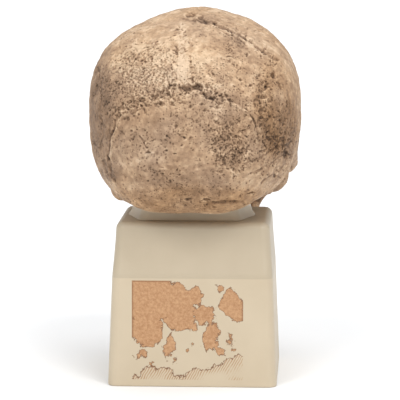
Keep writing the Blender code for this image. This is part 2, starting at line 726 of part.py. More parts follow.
def main():
    """Builds the cranium and its plinth."""
    clear_scene()
    parts = new_collection("fossil_skull")
    bone = material("fossil_bone", (0.56, 0.43, 0.31), 0.75)
    cream = material("plinth_cream", (0.76, 0.69, 0.55), 0.45)

    stand = bpy.data.objects.new("skull_frame", None)
    skull_z = (PLINTH_HEIGHT + SKULL_ABOVE_DECK) * MM
    stand.location = (SKULL_PLACE[0] * MM, SKULL_PLACE[1] * MM, skull_z)
    stand.rotation_euler = (0, 0, math.radians(SKULL_YAW_DEG))
    parts.objects.link(stand)
    bpy.context.view_layer.update()

    plinth = block("plinth", PLINTH_LEVELS, PLINTH_CORNER, 0.0)
    post = block("plinth_post", POST_LEVELS, POST_CORNER, PLINTH_HEIGHT + GAP, POST_END_SHARE)
    for obj, place in ((plinth, PLINTH_PLACE), (post, POST_PLACE)):
        obj.location = (place[0] * MM, place[1] * MM, 0)
        obj.data.materials.append(cream)
        parts.objects.link(obj)

    whole = cranium()
    *walls, (top, half_width, half_depth) = POST_LEVELS
    seat_levels = [*walls, (top + GAP, half_width, half_depth)]
    seat_levels = [(height, width + GAP, depth + GAP) for height, width, depth in seat_levels]
    seat = block("seat", seat_levels, POST_CORNER, PLINTH_HEIGHT + GAP, POST_END_SHARE)
    bpy.context.scene.collection.objects.link(seat)
    settle(seat)
    here = Matrix.Translation((POST_PLACE[0] * MM, POST_PLACE[1] * MM, 0))
    seat.data.transform(stand.matrix_world.inverted() @ here)
    combine(whole, [seat], "DIFFERENCE")

    for obj in part_cranium(whole):
        obj.data.materials.clear()
        obj.data.materials.append(bone)
        into(parts, obj)
        obj.parent = stand


main()
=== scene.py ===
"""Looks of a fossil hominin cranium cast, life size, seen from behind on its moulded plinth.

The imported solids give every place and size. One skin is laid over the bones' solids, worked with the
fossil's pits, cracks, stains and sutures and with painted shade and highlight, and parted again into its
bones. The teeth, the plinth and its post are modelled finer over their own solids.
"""

import itertools
import logging
import math
from dataclasses import dataclass, field
from enum import Enum

import bmesh
import bpy
import numpy as np
from mathutils import Matrix, Vector
from mathutils.bvhtree import BVHTree
from mathutils.kdtree import KDTree


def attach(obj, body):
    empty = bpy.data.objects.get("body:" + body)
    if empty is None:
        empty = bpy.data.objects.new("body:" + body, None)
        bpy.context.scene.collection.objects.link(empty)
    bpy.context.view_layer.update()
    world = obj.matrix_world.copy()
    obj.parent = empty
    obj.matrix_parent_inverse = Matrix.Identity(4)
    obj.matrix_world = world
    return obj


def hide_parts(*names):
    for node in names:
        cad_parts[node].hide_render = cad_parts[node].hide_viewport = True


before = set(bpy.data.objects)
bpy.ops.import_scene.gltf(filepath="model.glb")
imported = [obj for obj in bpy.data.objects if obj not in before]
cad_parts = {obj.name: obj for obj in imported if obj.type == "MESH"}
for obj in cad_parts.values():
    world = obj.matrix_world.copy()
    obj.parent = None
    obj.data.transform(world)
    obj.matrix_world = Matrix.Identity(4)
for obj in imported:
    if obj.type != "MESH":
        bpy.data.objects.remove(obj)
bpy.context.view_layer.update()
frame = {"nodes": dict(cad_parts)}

LOG = logging.getLogger("fossil_skull")
MM = 0.001
BODY = "root"

Pair = tuple[float, float]
Triple = tuple[float, float, float]
Colour = tuple[float, float, float, float]
Socket = bpy.types.NodeSocket


class Slot(Enum):
    """The record's material slots."""

    BONE = "fossil_bone"
    PLASTIC = "plinth_plastic"


class Bone(Enum):
    """The cranium's bones, each named as its solid."""

    FRONTAL = "frontal_bone"
    PARIETAL_LEFT = "parietal_bone_left"
    PARIETAL_RIGHT = "parietal_bone_right"
    OCCIPITAL = "occipital_bone"
    TEMPORAL_LEFT = "temporal_bone_left"
    TEMPORAL_RIGHT = "temporal_bone_right"
    SPHENOID = "sphenoid_and_base"
    ZYGOMATIC_LEFT = "zygomatic_bone_left"
    ZYGOMATIC_RIGHT = "zygomatic_bone_right"
    NASAL = "nasal_bones"
    MAXILLA_LEFT = "maxilla_left"
    MAXILLA_RIGHT = "maxilla_right"


# Small helpers


def settle(obj: bpy.types.Object) -> bpy.types.Object:
    """Replaces an object's mesh by the one that its modifiers make.

    Args:
        obj: the object with live modifiers.

    Returns:
        The same object, without modifiers.
    """
    bpy.context.view_layer.update()
    graph = bpy.context.evaluated_depsgraph_get()
    made = bpy.data.meshes.new_from_object(obj.evaluated_get(graph))
    old = obj.data
    obj.modifiers.clear()
    obj.data = made
    bpy.data.meshes.remove(old)
    return obj


def object_from(bm: bmesh.types.BMesh, name: str) -> bpy.types.Object:
    """Makes a scene object of a bmesh and frees the bmesh.

    Args:
        bm: the finished bmesh, in metres in the frame's own place.
        name: the object's name.

    Returns:
        The new object, at the origin.
    """
    mesh = bpy.data.meshes.new(name)
    bm.to_mesh(mesh)
    bm.free()
    obj = bpy.data.objects.new(name, mesh)
    bpy.context.scene.collection.objects.link(obj)
    return obj


def hand_over(obj: bpy.types.Object, node: str = "") -> bpy.types.Object:
    """Lets a finished piece ride on the body and reports it.

    Args:
        obj: the finished piece.
        node: the solid that it stands for, if any.

    Returns:
        The same object.
    """
    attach(obj, BODY)
    if node:
        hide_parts(node)
    LOG.info("%s: %d faces", obj.name, len(obj.data.polygons))
    return obj


def rows_of(items: bpy.types.bpy_prop_collection, name: str, width: int = 1,
            kind: type = np.int32) -> np.ndarray:
    """Reads a property of all of a mesh's items.

    Args:
        items: the mesh's vertices, edges, loops, polygons, or an attribute's values.
        name: the property.
        width: how many numbers one item has.
        kind: the numbers' type.

    Returns:
        A number for each item, or a row of them where width is more than 1.
    """
    values = np.empty(len(items) * width, kind)
    items.foreach_get(name, values)
    return values.reshape(-1, width) if width > 1 else values


def vectors_of(items: bpy.types.bpy_prop_collection, name: str) -> np.ndarray:
    """Reads a vector property of all of a mesh's items as rows of three."""
    return rows_of(items, name, 3, np.float32).astype(np.float64)


def ease(value: np.ndarray, low: float, high: float) -> np.ndarray:
    """Rises smoothly from 0 at low to 1 at high.

    Args:
        value: where to read the curve.
        low: the value at and below which it is 0.
        high: the value at and above which it is 1.

    Returns:
        The curve's height for each value.
    """
    share = np.clip((value - low) / (high - low), 0.0, 1.0)
    return share * share * (3.0 - 2.0 * share)


@dataclass(frozen=True)
class Grain:
    """Seeded noise in space, over points in millimetres."""

    seed: int

    STEPS = (0x8DA6B343, 0xD8163841, 0xCB1AB31F)
    MIXERS = (0x2C1B3C6D, 0x297A2D39)

    def hashes(self, cell: np.ndarray, steps: tuple[int, ...]) -> dict[tuple[int, ...], np.ndarray]:
        """Gives each neighbouring cell of each point a random whole number of 32 bits.

        Args:
            cell: the points' own cells.
            steps: the cells to take along each axis, counted from the own one.

        Returns:
            One row of numbers for each combination of steps.
        """
        mixed = {}
        parts = [[(cell[:, axis] + step).astype(np.uint32) * np.uint32(factor) for step in steps]
                 for axis, factor in enumerate(self.STEPS)]
        start = np.uint32(self.seed * self.STEPS[1] & 0xFFFFFFFF)
        for corner in itertools.product(range(len(steps)), repeat=3):
            number = parts[0][corner[0]] ^ parts[1][corner[1]] ^ parts[2][corner[2]] ^ start
            number ^= number >> np.uint32(15)
            number *= np.uint32(self.MIXERS[0])
            number ^= number >> np.uint32(12)
            number *= np.uint32(self.MIXERS[1])
            number ^= number >> np.uint32(15)
            mixed[tuple(steps[index] for index in corner)] = number
        return mixed

    @staticmethod
    def thirds(number: np.ndarray) -> list[np.ndarray]:
        """Splits each random number into three of 0 to 1."""
        return [((number >> np.uint32(bits)) & np.uint32(1023)).astype(np.float32) / np.float32(1023)
                for bits in (0, 10, 20)]

    def smooth(self, points: np.ndarray, size: float) -> np.ndarray:
        """Gradient noise of about -1 to 1.

        Args:
            points: rows of three, in millimetres.
            size: the width of one wave, in millimetres.

        Returns:
            One value for each point.
        """
        scaled = points / size
        cell = np.floor(scaled).astype(np.int32)
        part = (scaled - cell).astype(np.float32)
        fade = part * part * part * (part * (part * 6 - 15) + 10)
        total = np.zeros(len(points), np.float32)
        for corner, number in self.hashes(cell, (0, 1)).items():
            dot = np.zeros(len(points), np.float32)
            weight = np.ones(len(points), np.float32)
            for axis, (step, slope) in enumerate(zip(corner, self.thirds(number))):
                dot += (part[:, axis] - step) * (slope * 2 - 1)
                weight *= fade[:, axis] if step else 1 - fade[:, axis]
            total += weight * dot
        return total.astype(np.float64) * 1.7

    def rough(self, points: np.ndarray, size: float, octaves: int = 3, keep: float = 0.5) -> np.ndarray:
        """Several layers of noise, each half the size of the one before.

        Args:
            points: rows of three, in millimetres.
            size: the width of the widest wave, in millimetres.
            octaves: the number of layers.
            keep: each layer's strength as a share of the one before.

        Returns:
            One value for each point, of about -1 to 1.
        """
        total, strength, whole = np.zeros(len(points)), 1.0, 0.0
        for octave in range(octaves):
            layer = Grain(self.seed + 17 * octave)
            total += strength * layer.smooth(points + 31.7 * octave, size)
            whole += strength
            size, strength = size / 2, strength * keep
        return total / whole

    def dots(self, points: np.ndarray, size: float) -> tuple[np.ndarray, np.ndarray]:
        """Finds the nearest of points scattered one to a cell.

        Args:
            points: rows of three, in millimetres.
            size: the width of a cell, in millimetres.

        Returns:
            The distance to the nearest scattered point, in cells, and that point's random share.
        """
        scaled = points / size
        cell = np.floor(scaled).astype(np.int32)
        part = (scaled - cell).astype(np.float32)
        nearest = np.full(len(points), 9.0, np.float32)
        share = np.zeros(len(points), np.float32)
        for corner, number in self.hashes(cell, (-1, 0, 1)).items():
            away = np.zeros(len(points), np.float32)
            for axis, (step, spot) in enumerate(zip(corner, self.thirds(number))):
                away += (step + spot - part[:, axis]) ** 2
            closer = away < nearest
            nearest = np.where(closer, away, nearest)
            share = np.where(closer, (number & np.uint32(0xFFF)).astype(np.float32) / 4095, share)
        return np.sqrt(nearest).astype(np.float64), share.astype(np.float64)


# The camera and what it sees


@dataclass(frozen=True)
class PhotoView:
    """The photo's camera: behind the skull, a little to its right and a little above the plinth.

    Lengths are in metres, angles in degrees, and the sensor and lens in millimetres. The last three
    are the photo's scale at the skull, the skull's midline and its lower edge, in pixels.
    """

    azimuth: float = 183.0
    elevation: float = 7.0
    distance: float = 1.5
    target: Triple = (0.0, 0.0125, 0.118)
    sensor: float = 36.0
    lens: float = 211.1
    shift_x: float = 0.0088
    shift_y: float = -0.0286
    photo_width: float = 400.0
    pixels_per_mm: float = 1.586
    midline_px: float = 194.5
    low_edge_px: float = 213.0

    def axes(self) -> tuple[np.ndarray, np.ndarray, np.ndarray]:
        """Works out how the camera is turned.

        Returns:
            The directions from the target to the camera, to the picture's right and to its top.
        """
        turn, tilt = math.radians(self.azimuth), math.radians(self.elevation)
        level = math.cos(tilt)
        back = np.array((math.sin(turn) * level, -math.cos(turn) * level, math.sin(tilt)))
        right = np.array((math.cos(turn), math.sin(turn), 0.0))
        return back, right, np.cross(back, right)

    def place(self) -> np.ndarray:
        """Returns the camera's place."""
        return np.array(self.target) + self.axes()[0] * self.distance

    def create(self) -> bpy.types.Object:
        """Makes the camera and hands it to the scene.

        Returns:
            The camera.
        """
        data = bpy.data.cameras.new("photo_camera")
        data.sensor_width, data.lens = self.sensor, self.lens
        data.shift_x, data.shift_y = self.shift_x, self.shift_y
        camera = bpy.data.objects.new("photo_camera", data)
        camera.location = Vector(self.place())
        camera.rotation_mode = "QUATERNION"
        camera.rotation_quaternion = Vector(-self.axes()[0]).to_track_quat("-Z", "Y")
        bpy.context.scene.collection.objects.link(camera)
        bpy.context.scene.camera = camera
        return camera

    def seen(self, points: np.ndarray, normals: np.ndarray) -> tuple[np.ndarray, np.ndarray, np.ndarray]:
        """Places points in the photo's plane.

        Args:
            points: rows of three, in metres.
            normals: the surface's directions there.

        Returns:
            Millimetres right of the skull's midline and above its lower edge, as the photo measures
            them, and how squarely the surface faces the camera.
        """
        back, right, up = self.axes()
        ray = points - self.place()
        depth = -(ray @ back)
        focal = self.lens / self.sensor * self.photo_width
        middle = self.photo_width / 2
        across_px = ray @ right / depth * focal + middle - self.shift_x * self.photo_width
        down_px = middle + self.shift_y * self.photo_width - ray @ up / depth * focal
        facing = -(normals * ray).sum(1) / np.linalg.norm(ray, axis=1)
        across = (across_px - self.midline_px) / self.pixels_per_mm
        return across, (self.low_edge_px - down_px) / self.pixels_per_mm, facing


# The fossil's marks, placed as the photo shows them, among them some painted light and shade


@dataclass(frozen=True)
class Pit:
    """A hollow in the back of the skull.

    Its place, length along its turn, and width are in millimetres in the photo's plane, and turn is in
    degrees from level. dark is how deeply its floor is stained.
    """

    across: float
    up: float
    length: float
    width: float
    depth: float
    turn: float = 0.0
    dark: float = 0.8

    def field(self, across: np.ndarray, up: np.ndarray) -> np.ndarray:
        """Measures how much of the hollow each point has.

        Args:
            across: the points' places in the photo's plane.
            up: the same, upward.

        Returns:
            1 on the hollow's floor, falling to 0 at its rim.
        """
        angle = math.radians(self.turn)
        east, north = across - self.across, up - self.up
        along = east * math.cos(angle) + north * math.sin(angle)
        aside = north * math.cos(angle) - east * math.sin(angle)
        reach = np.hypot(along / (self.length / 2), aside / (self.width / 2))
        return 1.0 - ease(reach, 0.45, 1.15)


@dataclass(frozen=True)
class Crack:
    """An open line through points in the photo's plane, in millimetres.

    lip raises the edge on the line's right hand, seen along it, and dark is how much its floor is darkened:
    stain, with painted shade.
    """

    points: tuple[Pair, ...]
    width: float
    depth: float
    dark: float = 0.7
    lip: float = 0.0

    def distance(self, across: np.ndarray, up: np.ndarray) -> tuple[np.ndarray, np.ndarray]:
        """Measures how far points lie from the line.

        Args:
            across: the points' first coordinate.
            up: their second.

        Returns:
            The distance, and the same distance given a sign, positive on the line's right.
        """
        nearest = np.full(len(across), 1e3)
        side = np.zeros(len(across))
        for (ax, ay), (bx, by) in zip(self.points, self.points[1:]):
            dx, dy = bx - ax, by - ay
            share = np.clip(((across - ax) * dx + (up - ay) * dy) / (dx * dx + dy * dy), 0.0, 1.0)
            east, north = across - ax - share * dx, up - ay - share * dy
            away = np.hypot(east, north)
            closer = away < nearest
            nearest = np.where(closer, away, nearest)
            side = np.where(closer, np.sign(east * dy - north * dx), side)
        return nearest, nearest * side


@dataclass(frozen=True)
class Zone:
    """A soft-edged patch of another tone, in the photo's plane, in millimetres.

    tone lightens or darkens it, grey takes its warmth, and pores is how thickly small pits stand on it.
    """

    across: float
    up: float
    half_width: float
    half_height: float
    tone: float
    grey: float = 0.0
    pores: float = 0.0
    turn: float = 0.0

    def field(self, across: np.ndarray, up: np.ndarray) -> np.ndarray:
        """Measures how much of the patch each point has.

        Args:
            across: the points' places in the photo's plane.
            up: the same, upward.

        Returns:
            1 in the patch's middle, falling to 0 past its edge.
        """
        angle = math.radians(self.turn)
        east, north = across - self.across, up - self.up
        along = (east * math.cos(angle) + north * math.sin(angle)) / self.half_width
        aside = (north * math.cos(angle) - east * math.sin(angle)) / self.half_height
        return 1.0 - ease(np.hypot(along, aside), 0.55, 1.35)


@dataclass(frozen=True)
class PitDrift:
    """Many small pits strewn along a line in the photo's plane, thinning out from it.

    Lengths are in millimetres. reach is how far the pits spread to the line's two sides, size and depth
    are the least and most of one pit, and dark is how deeply they are stained.
    """

    points: tuple[Pair, ...]
    count: int
    reach: float
    size: Pair
    depth: Pair
    dark: float
    seed: int

    def pits(self) -> list[Pit]:
        """Draws the pits.

        Returns:
            The pits, the same ones each time.
        """
        chance = np.random.default_rng(self.seed)
        line = np.array(self.points)
        lengths = np.hypot(*np.diff(line, axis=0).T)
        run = np.concatenate([[0.0], np.cumsum(lengths)])
        made = []
        for _ in range(self.count):
            along = chance.uniform(0.0, run[-1])
            middle = np.array([np.interp(along, run, line[:, axis]) for axis in (0, 1)])
            off = chance.normal(0.0, self.reach / 2, 2)
            share = chance.beta(1.1, 3.2)
            size = self.size[0] + (self.size[1] - self.size[0]) * share
            depth = self.depth[0] + (self.depth[1] - self.depth[0]) * share
            longer = chance.uniform(1.0, 1.9)
            made.append(Pit(*(middle + off), size * longer, size, depth, chance.uniform(-90, 90),
                            self.dark * chance.uniform(0.6, 1.1)))
        return made


@dataclass(frozen=True)
class FossilMarks:
    """All that age and burial left on the back of this skull, and painted light and shade among its zones."""

    pits: tuple[Pit, ...] = (
        Pit(-2.6, 125.2, 7.0, 3.6, 2.0, 6, 0.95),
        Pit(4.2, 123.6, 4.0, 2.0, 0.9, 6, 0.8),
        Pit(-10.5, 115.8, 2.6, 1.9, 0.9, -20),
        Pit(-6.4, 114.4, 2.4, 1.8, 0.8, 10),
        Pit(-8.6, 110.6, 1.8, 1.5, 0.7),
        Pit(-6.0, 108.4, 2.0, 1.4, 0.7),
        Pit(-11.9, 101.8, 2.4, 1.8, 0.8, 40),
        Pit(-2.6, 95.5, 1.9, 1.8, 1.3, 0, 0.95),
        Pit(3.8, 80.7, 3.8, 2.6, 1.4, -30, 0.9),
        Pit(6.6, 75.4, 3.8, 2.6, 1.4, -40, 0.95),
        Pit(10.4, 72.4, 4.2, 2.4, 1.3, -20, 0.9),
        Pit(16.4, 74.6, 3.4, 2.0, 1.1, 20, 0.85),
        Pit(20.4, 74.0, 3.8, 2.2, 1.1, -10, 0.85),
        Pit(-16.7, 76.9, 2.6, 2.0, 1.0, 20),
        Pit(-21.1, 73.1, 3.4, 2.2, 1.2, 40, 0.9),
        Pit(-24.6, 74.8, 2.4, 1.8, 0.9, 60),
        Pit(-32.5, 71.2, 3.0, 2.2, 1.1, 30),
        Pit(-36.9, 66.2, 3.2, 2.2, 1.1, 50),
        Pit(-42.6, 65.6, 2.8, 2.0, 1.0, 70),
        Pit(-48.2, 65.2, 2.6, 2.0, 1.0, 80),
        Pit(49.7, 87.0, 5.0, 3.4, 1.8, 105, 0.9),
        Pit(-6.8, 47.4, 3.0, 1.5, 1.0, -20, 0.9),
        Pit(-8.2, 42.9, 2.2, 1.6, 1.0, 0, 0.85),
        Pit(-17.5, 39.3, 2.4, 1.6, 0.9),
        Pit(-11.9, 37.8, 2.6, 1.4, 0.9, 0, 0.85),
        Pit(-29.9, 38.5, 2.4, 1.6, 0.9),
        Pit(-19.9, 24.9, 1.9, 1.2, 0.7),
        Pit(-29.1, 20.2, 2.0, 1.4, 0.7),
        Pit(-39.7, 51.7, 1.8, 1.4, 0.7),
        Pit(57.7, 37.2, 7.0, 4.0, 1.9, 95, 0.95),
        Pit(51.1, 23.0, 3.6, 2.0, 1.0, 60, 0.9),
        Pit(-3.6, 8.4, 5.4, 1.7, 1.2, 2, 0.9),
        Pit(7.6, 8.2, 5.4, 1.7, 1.2, -4, 0.9),
        Pit(35.6, 12.4, 6.0, 1.7, 1.1, 14, 0.8),
        Pit(22.8, 98.8, 5.0, 1.3, 0.9, -6, 0.8),
        Pit(33.1, 99.6, 3.0, 1.3, 0.8, -60, 0.7),
        Pit(45.4, 80.0, 4.0, 3.0, 0.9, 80, 0.75),
        Pit(43.8, 73.1, 5.6, 3.2, 0.9, 20, 0.75),
        Pit(41.9, 64.9, 5.0, 4.2, 0.9, 60, 0.75),
        Pit(47.0, 47.0, 5.0, 3.0, 0.9, -40, 0.75),
        Pit(52.5, 42.0, 3.4, 2.6, 0.9, -40, 0.75),
    )
    drifts: tuple[PitDrift, ...] = (
        PitDrift(((-4.0, 79.0), (-14.0, 76.0), (-24.0, 73.0), (-36.0, 68.0), (-50.0, 63.5)),
                 190, 6.5, (0.9, 2.8), (0.3, 1.1), 0.50, 101),
        PitDrift(((-16.0, 88.0), (-30.0, 84.0), (-42.0, 80.0)), 430, 17.0, (0.7, 2.0), (0.2, 0.7), 0.6, 102),
        PitDrift(((-28.0, 98.0), (-40.0, 92.0)), 170, 18.0, (0.6, 1.5), (0.15, 0.45), 0.5, 103),
        PitDrift(((4.0, 80.0), (10.0, 73.5), (21.0, 72.0)), 50, 4.0, (0.9, 2.6), (0.4, 1.2), 0.65, 104),
        PitDrift(((16.0, 52.0), (22.0, 46.0), (26.0, 38.0)), 210, 14.0, (0.7, 2.2), (0.2, 0.8), 0.5, 105),
        PitDrift(((14.0, 37.0), (24.0, 33.0), (34.0, 38.0)), 90, 8.0, (0.8, 2.4), (0.3, 0.9), 0.6, 106),
        PitDrift(((-10.0, 117.0), (-7.0, 108.0), (-10.0, 98.0)), 55, 4.0, (0.8, 2.0), (0.3, 0.9), 0.7, 107),
        PitDrift(((44.0, 84.0), (42.0, 70.0), (40.0, 60.0)), 60, 7.0, (0.9, 3.0), (0.3, 0.8), 0.65, 108),
        PitDrift(((46.0, 55.0), (52.0, 46.0), (58.0, 40.0)), 90, 13.0, (0.8, 2.6), (0.3, 0.9), 0.6, 109),
        PitDrift(((20.0, 116.0), (34.0, 108.0), (50.0, 95.0)), 90, 6.0, (0.7, 1.9), (0.2, 0.8), 0.7, 110),
        PitDrift(((-12.0, 44.0), (-24.0, 40.0), (-34.0, 46.0)), 50, 12.0, (0.8, 1.9), (0.2, 0.7), 0.6, 111),
        PitDrift(((34.0, 30.0), (50.0, 34.0), (56.0, 30.0)), 60, 11.0, (0.7, 1.8), (0.2, 0.7), 0.6, 112),
        PitDrift(((-40.0, 108.0), (0.0, 100.0), (40.0, 88.0)), 240, 34.0, (0.6, 1.2), (0.12, 0.35), 0.5, 113),
        PitDrift(((-40.0, 20.0), (0.0, 12.0), (40.0, 16.0)), 130, 16.0, (0.6, 1.6), (0.15, 0.5), 0.5, 114),
    )
    cracks: tuple[Crack, ...] = (
        Crack(((-7.3, 123.2), (-2.0, 121.6), (3.8, 121.3)), 0.8, 0.6, 0.6),
        Crack(((3.6, 121.6), (9.0, 120.4), (12.6, 119.4)), 2.1, 2.0, 1.0, 0.6),
        Crack(((12.3, 119.5), (19.6, 116.6), (24.0, 114.4)), 1.3, 1.3, 0.85, 0.8),
        Crack(((24.0, 114.4), (31.7, 110.3), (36.0, 107.0)), 1.1, 1.2, 0.85, 0.7),
        Crack(((36.0, 107.5), (43.0, 102.0), (47.4, 99.0), (52.5, 96.5)), 0.9, 0.8, 0.6, 0.5),
        Crack(((14.0, 117.0), (24.0, 111.5), (33.0, 105.5)), 0.6, 0.5, 0.4),
        Crack(((52.0, 82.6), (54.9, 78.8)), 1.1, 1.0, 0.8),
        Crack(((-9.4, 80.4), (-7.6, 79.4), (-4.6, 78.7), (-1.4, 79.0), (0.6, 79.6), (1.6, 80.8)),
              2.0, 2.2, 1.0, -0.7),
        Crack(((0.6, 79.6), (5.0, 76.4), (9.0, 72.6), (12.0, 71.4)), 1.2, 1.1, 0.8),
        Crack(((21.4, 71.2), (28.7, 68.5), (34.4, 63.7), (38.1, 57.4), (39.1, 51.1), (40.0, 47.3)),
              0.9, 0.6, 0.35, 1.1),
        Crack(((-47.6, 63.1), (-49.9, 57.4), (-52.6, 47.9), (-54.1, 39.7), (-54.5, 34.0)),
              1.1, 0.9, 0.75, -0.6),
        Crack(((-54.5, 34.0), (-53.7, 29.6), (-52.3, 24.0), (-50.4, 20.2)), 1.5, 1.5, 0.95),
        Crack(((-57.0, 33.0), (-55.6, 26.0)), 1.2, 1.0, 0.8),
        Crack(((61.5, 35.3), (61.2, 30.0), (61.5, 25.2)), 1.0, 0.9, 0.7),
        Crack(((-34.4, 48.5), (-32.5, 45.4), (-29.9, 41.6)), 0.8, 0.5, 0.5),
        Crack(((8.5, 5.7), (19.0, 7.0), (30.6, 6.9), (32.5, 3.8), (38.1, 7.6), (44.5, 9.1)), 1.3, 1.1, 0.75),
        Crack(((-61.0, 92.0), (-58.6, 78.0), (-59.4, 66.0)), 0.7, 0.5, 0.35),
        Crack(((-59.0, 62.0), (-57.4, 50.0), (-59.0, 41.0)), 0.7, 0.5, 0.35),
        Crack(((30.0, 30.0), (42.0, 35.0), (54.0, 43.0)), 0.9, 0.6, 0.5),
        Crack(((36.0, 25.0), (47.0, 30.0), (57.0, 38.0)), 0.8, 0.5, 0.5),
        Crack(((42.0, 19.0), (51.0, 25.0), (58.0, 31.0)), 0.8, 0.5, 0.5),
        Crack(((-24.0, 30.5), (-8.0, 28.0), (12.0, 31.0)), 1.6, 0.3, 0.2, 0.3),
        Crack(((-11.0, 106.0), (-11.6, 99.0), (-11.0, 92.0), (-11.8, 84.5)), 0.8, 0.5, 0.35),
        Crack(((-2.6, 99.0), (-2.4, 92.0), (-1.0, 84.0)), 0.7, 0.4, 0.3),
    )
    zones: tuple[Zone, ...] = (
        # Paler over the whole upper vault: paler bone, with painted light from above.
        Zone(0.0, 116.0, 62.0, 34.0, 0.10),
        Zone(-27.0, 88.0, 26.0, 20.0, 0.09, 0.0, 0.9),
        Zone(-48.0, 76.0, 12.0, 14.0, -0.03, 0.0, 0.6),
        Zone(12.0, 95.0, 20.0, 16.0, 0.03, 0.0, 0.25),
        # The two pale strips along the sagittal suture below are painted highlight on its ridges.
        Zone(-7.6, 92.1, 4.4, 9.0, 0.30, 0.05, -0.9),
        Zone(-8.0, 108.0, 2.8, 12.0, 0.22, 0.05, -0.3),
        Zone(25.0, 106.0, 7.5, 6.5, -0.13, 0.0, 0.4),
        Zone(-6.0, 61.0, 14.0, 13.0, 0.02, -0.05, 0.2),
        Zone(-32.0, 50.0, 16.0, 18.0, -0.06, 0.0, 0.2),
        Zone(6.0, 52.0, 46.0, 30.0, -0.04, 0.0, 0.1),
        Zone(-32.0, 33.7, 5.0, 4.4, 0.14),
        Zone(-32.0, 48.0, 22.0, 20.0, -0.03, 0.05),
        Zone(22.0, 46.0, 14.0, 17.0, -0.05, 0.0, 0.8, 20),
        Zone(55.0, 53.6, 11.0, 18.0, -0.32, -0.1, 0.7),
        Zone(44.0, 70.0, 7.0, 16.0, -0.16, -0.1, 0.5),
        Zone(48.0, 46.0, 9.0, 8.0, -0.17, -0.1, 0.6, -40),
        Zone(52.0, 88.0, 9.0, 12.0, -0.07, -0.1, 0.2),
        Zone(30.0, 24.0, 8.0, 8.0, 0.08),
        Zone(46.0, 31.0, 14.0, 9.0, -0.05, 0.0, 0.3, 30),
        Zone(-61.0, 61.0, 9.0, 31.0, -0.24, 0.05, 0.1),
        Zone(-53.0, 26.0, 6.0, 10.0, -0.18, 0.05, 0.2, 110),
        # The next two bands are darker along the lowest part of the back: painted shade, with browner bone.
        Zone(0.0, 8.0, 60.0, 9.0, -0.10, -0.15, 0.1),
        Zone(-4.0, 22.0, 26.0, 9.0, -0.08, 0.0, 0.1),
        Zone(-40.0, 30.0, 14.0, 10.0, -0.02),
    )

    def every_pit(self) -> list[Pit]:
        """Returns the single pits and all the strewn ones."""
        return [*self.pits, *(pit for drift in self.drifts for pit in drift.pits())]


# The skin and the work on it


@dataclass(frozen=True)
class BonePalette:
    """The fossil bone's colours, linear, from the floor of a crack to worn pale bone."""

    stops: tuple[float, ...] = (0.0, 0.25, 0.5, 0.7, 0.85, 1.0)
    colours: tuple[Triple, ...] = (
        (0.070, 0.037, 0.019),
        (0.165, 0.094, 0.050),
        (0.285, 0.174, 0.100),
        (0.410, 0.263, 0.158),
        (0.530, 0.358, 0.222),
        (0.680, 0.497, 0.330),
    )
    grey_luma: Triple = (0.30, 0.59, 0.11)

    def paint(self, tone: np.ndarray, grey: np.ndarray) -> np.ndarray:
        """Turns tones into colours.

        Args:
            tone: 0 in a crack to 1 on worn bone, for each vertex.
            grey: the share of warmth that is lost, which may be negative.

        Returns:
            Rows of red, green, blue and 1.
        """
        channels = zip(*self.colours)
        colour = np.stack([np.interp(tone, self.stops, channel) for channel in channels], 1)
        luma = (colour @ np.array(self.grey_luma))[:, None]
        colour += (luma - colour) * np.clip(grey, -0.3, 0.7)[:, None]
        return np.concatenate([np.clip(colour, 0.0, 1.0), np.ones((len(colour), 1))], 1)


@dataclass
class Skin:
    """The cranium's surface as numbers, one row for each vertex."""

    mesh: bpy.types.Mesh
    places: np.ndarray = field(init=False)
    normals: np.ndarray = field(init=False)
    edges: np.ndarray = field(init=False)

    def __post_init__(self) -> None:
        """Reads the mesh."""
        self.read()
        self.edges = rows_of(self.mesh.edges, "vertices", 2)

    def read(self) -> None:
        """Reads the vertices' places and normals."""
        self.places = vectors_of(self.mesh.vertices, "co")
        self.normals = vectors_of(self.mesh.vertices, "normal")

    def write(self, places: np.ndarray) -> None:
        """Moves the vertices and reads them again.

        Args:
            places: the new place of each.
        """
        self.mesh.vertices.foreach_set("co", places.astype(np.float32).ravel())
        self.mesh.update()
        self.read()

    def spread(self, values: np.ndarray, rounds: int) -> np.ndarray:
        """Averages values with their neighbours' along the mesh.

        Args:
            values: one row, or one number, for each vertex.
            rounds: how often.

        Returns:
            The spread values, in the same shape.
        """
        table = values.reshape(len(values), -1).copy()
        first, second = self.edges.T
        ends = np.concatenate([first, second])
        others = np.concatenate([second, first])
        count = np.maximum(np.bincount(ends, minlength=len(table)), 1)
        for _ in range(rounds):
            for column in range(table.shape[1]):
                total = np.bincount(ends, table[others, column], len(table))
                table[:, column] = 0.5 * table[:, column] + 0.5 * total / count
        return table.reshape(values.shape)

    def hollowness(self, rounds: int) -> np.ndarray:
        """Returns how far each vertex lies below its smoothed surroundings, in millimetres."""
        return ((self.spread(self.places, rounds) - self.places) * self.normals).sum(1) / MM


@dataclass
class Relief:
    """What the work on the skin comes to: one value of each kind for each vertex.

    rise is in millimetres. tone runs from 0 in a crack to 1 on worn bone, grey is the share of warmth
    that is lost, and pores is how thickly fine pores stand.
    """

    rise: np.ndarray
    tone: np.ndarray
    grey: np.ndarray
    pores: np.ndarray

    def add(self, share: np.ndarray, rise: float = 0.0, tone: float = 0.0, grey: float = 0.0,
            pores: float = 0.0) -> None:
        """Adds a mark.

        Args:
            share: how much of the mark each vertex has.
            rise: what a whole mark adds to the rise.
            tone: the same for the tone.
            grey: the same for the greyness.
            pores: the same for the pores.
        """
        for values, whole in ((self.rise, rise), (self.tone, tone), (self.grey, grey), (self.pores, pores)):
            if whole:
                values += whole * share


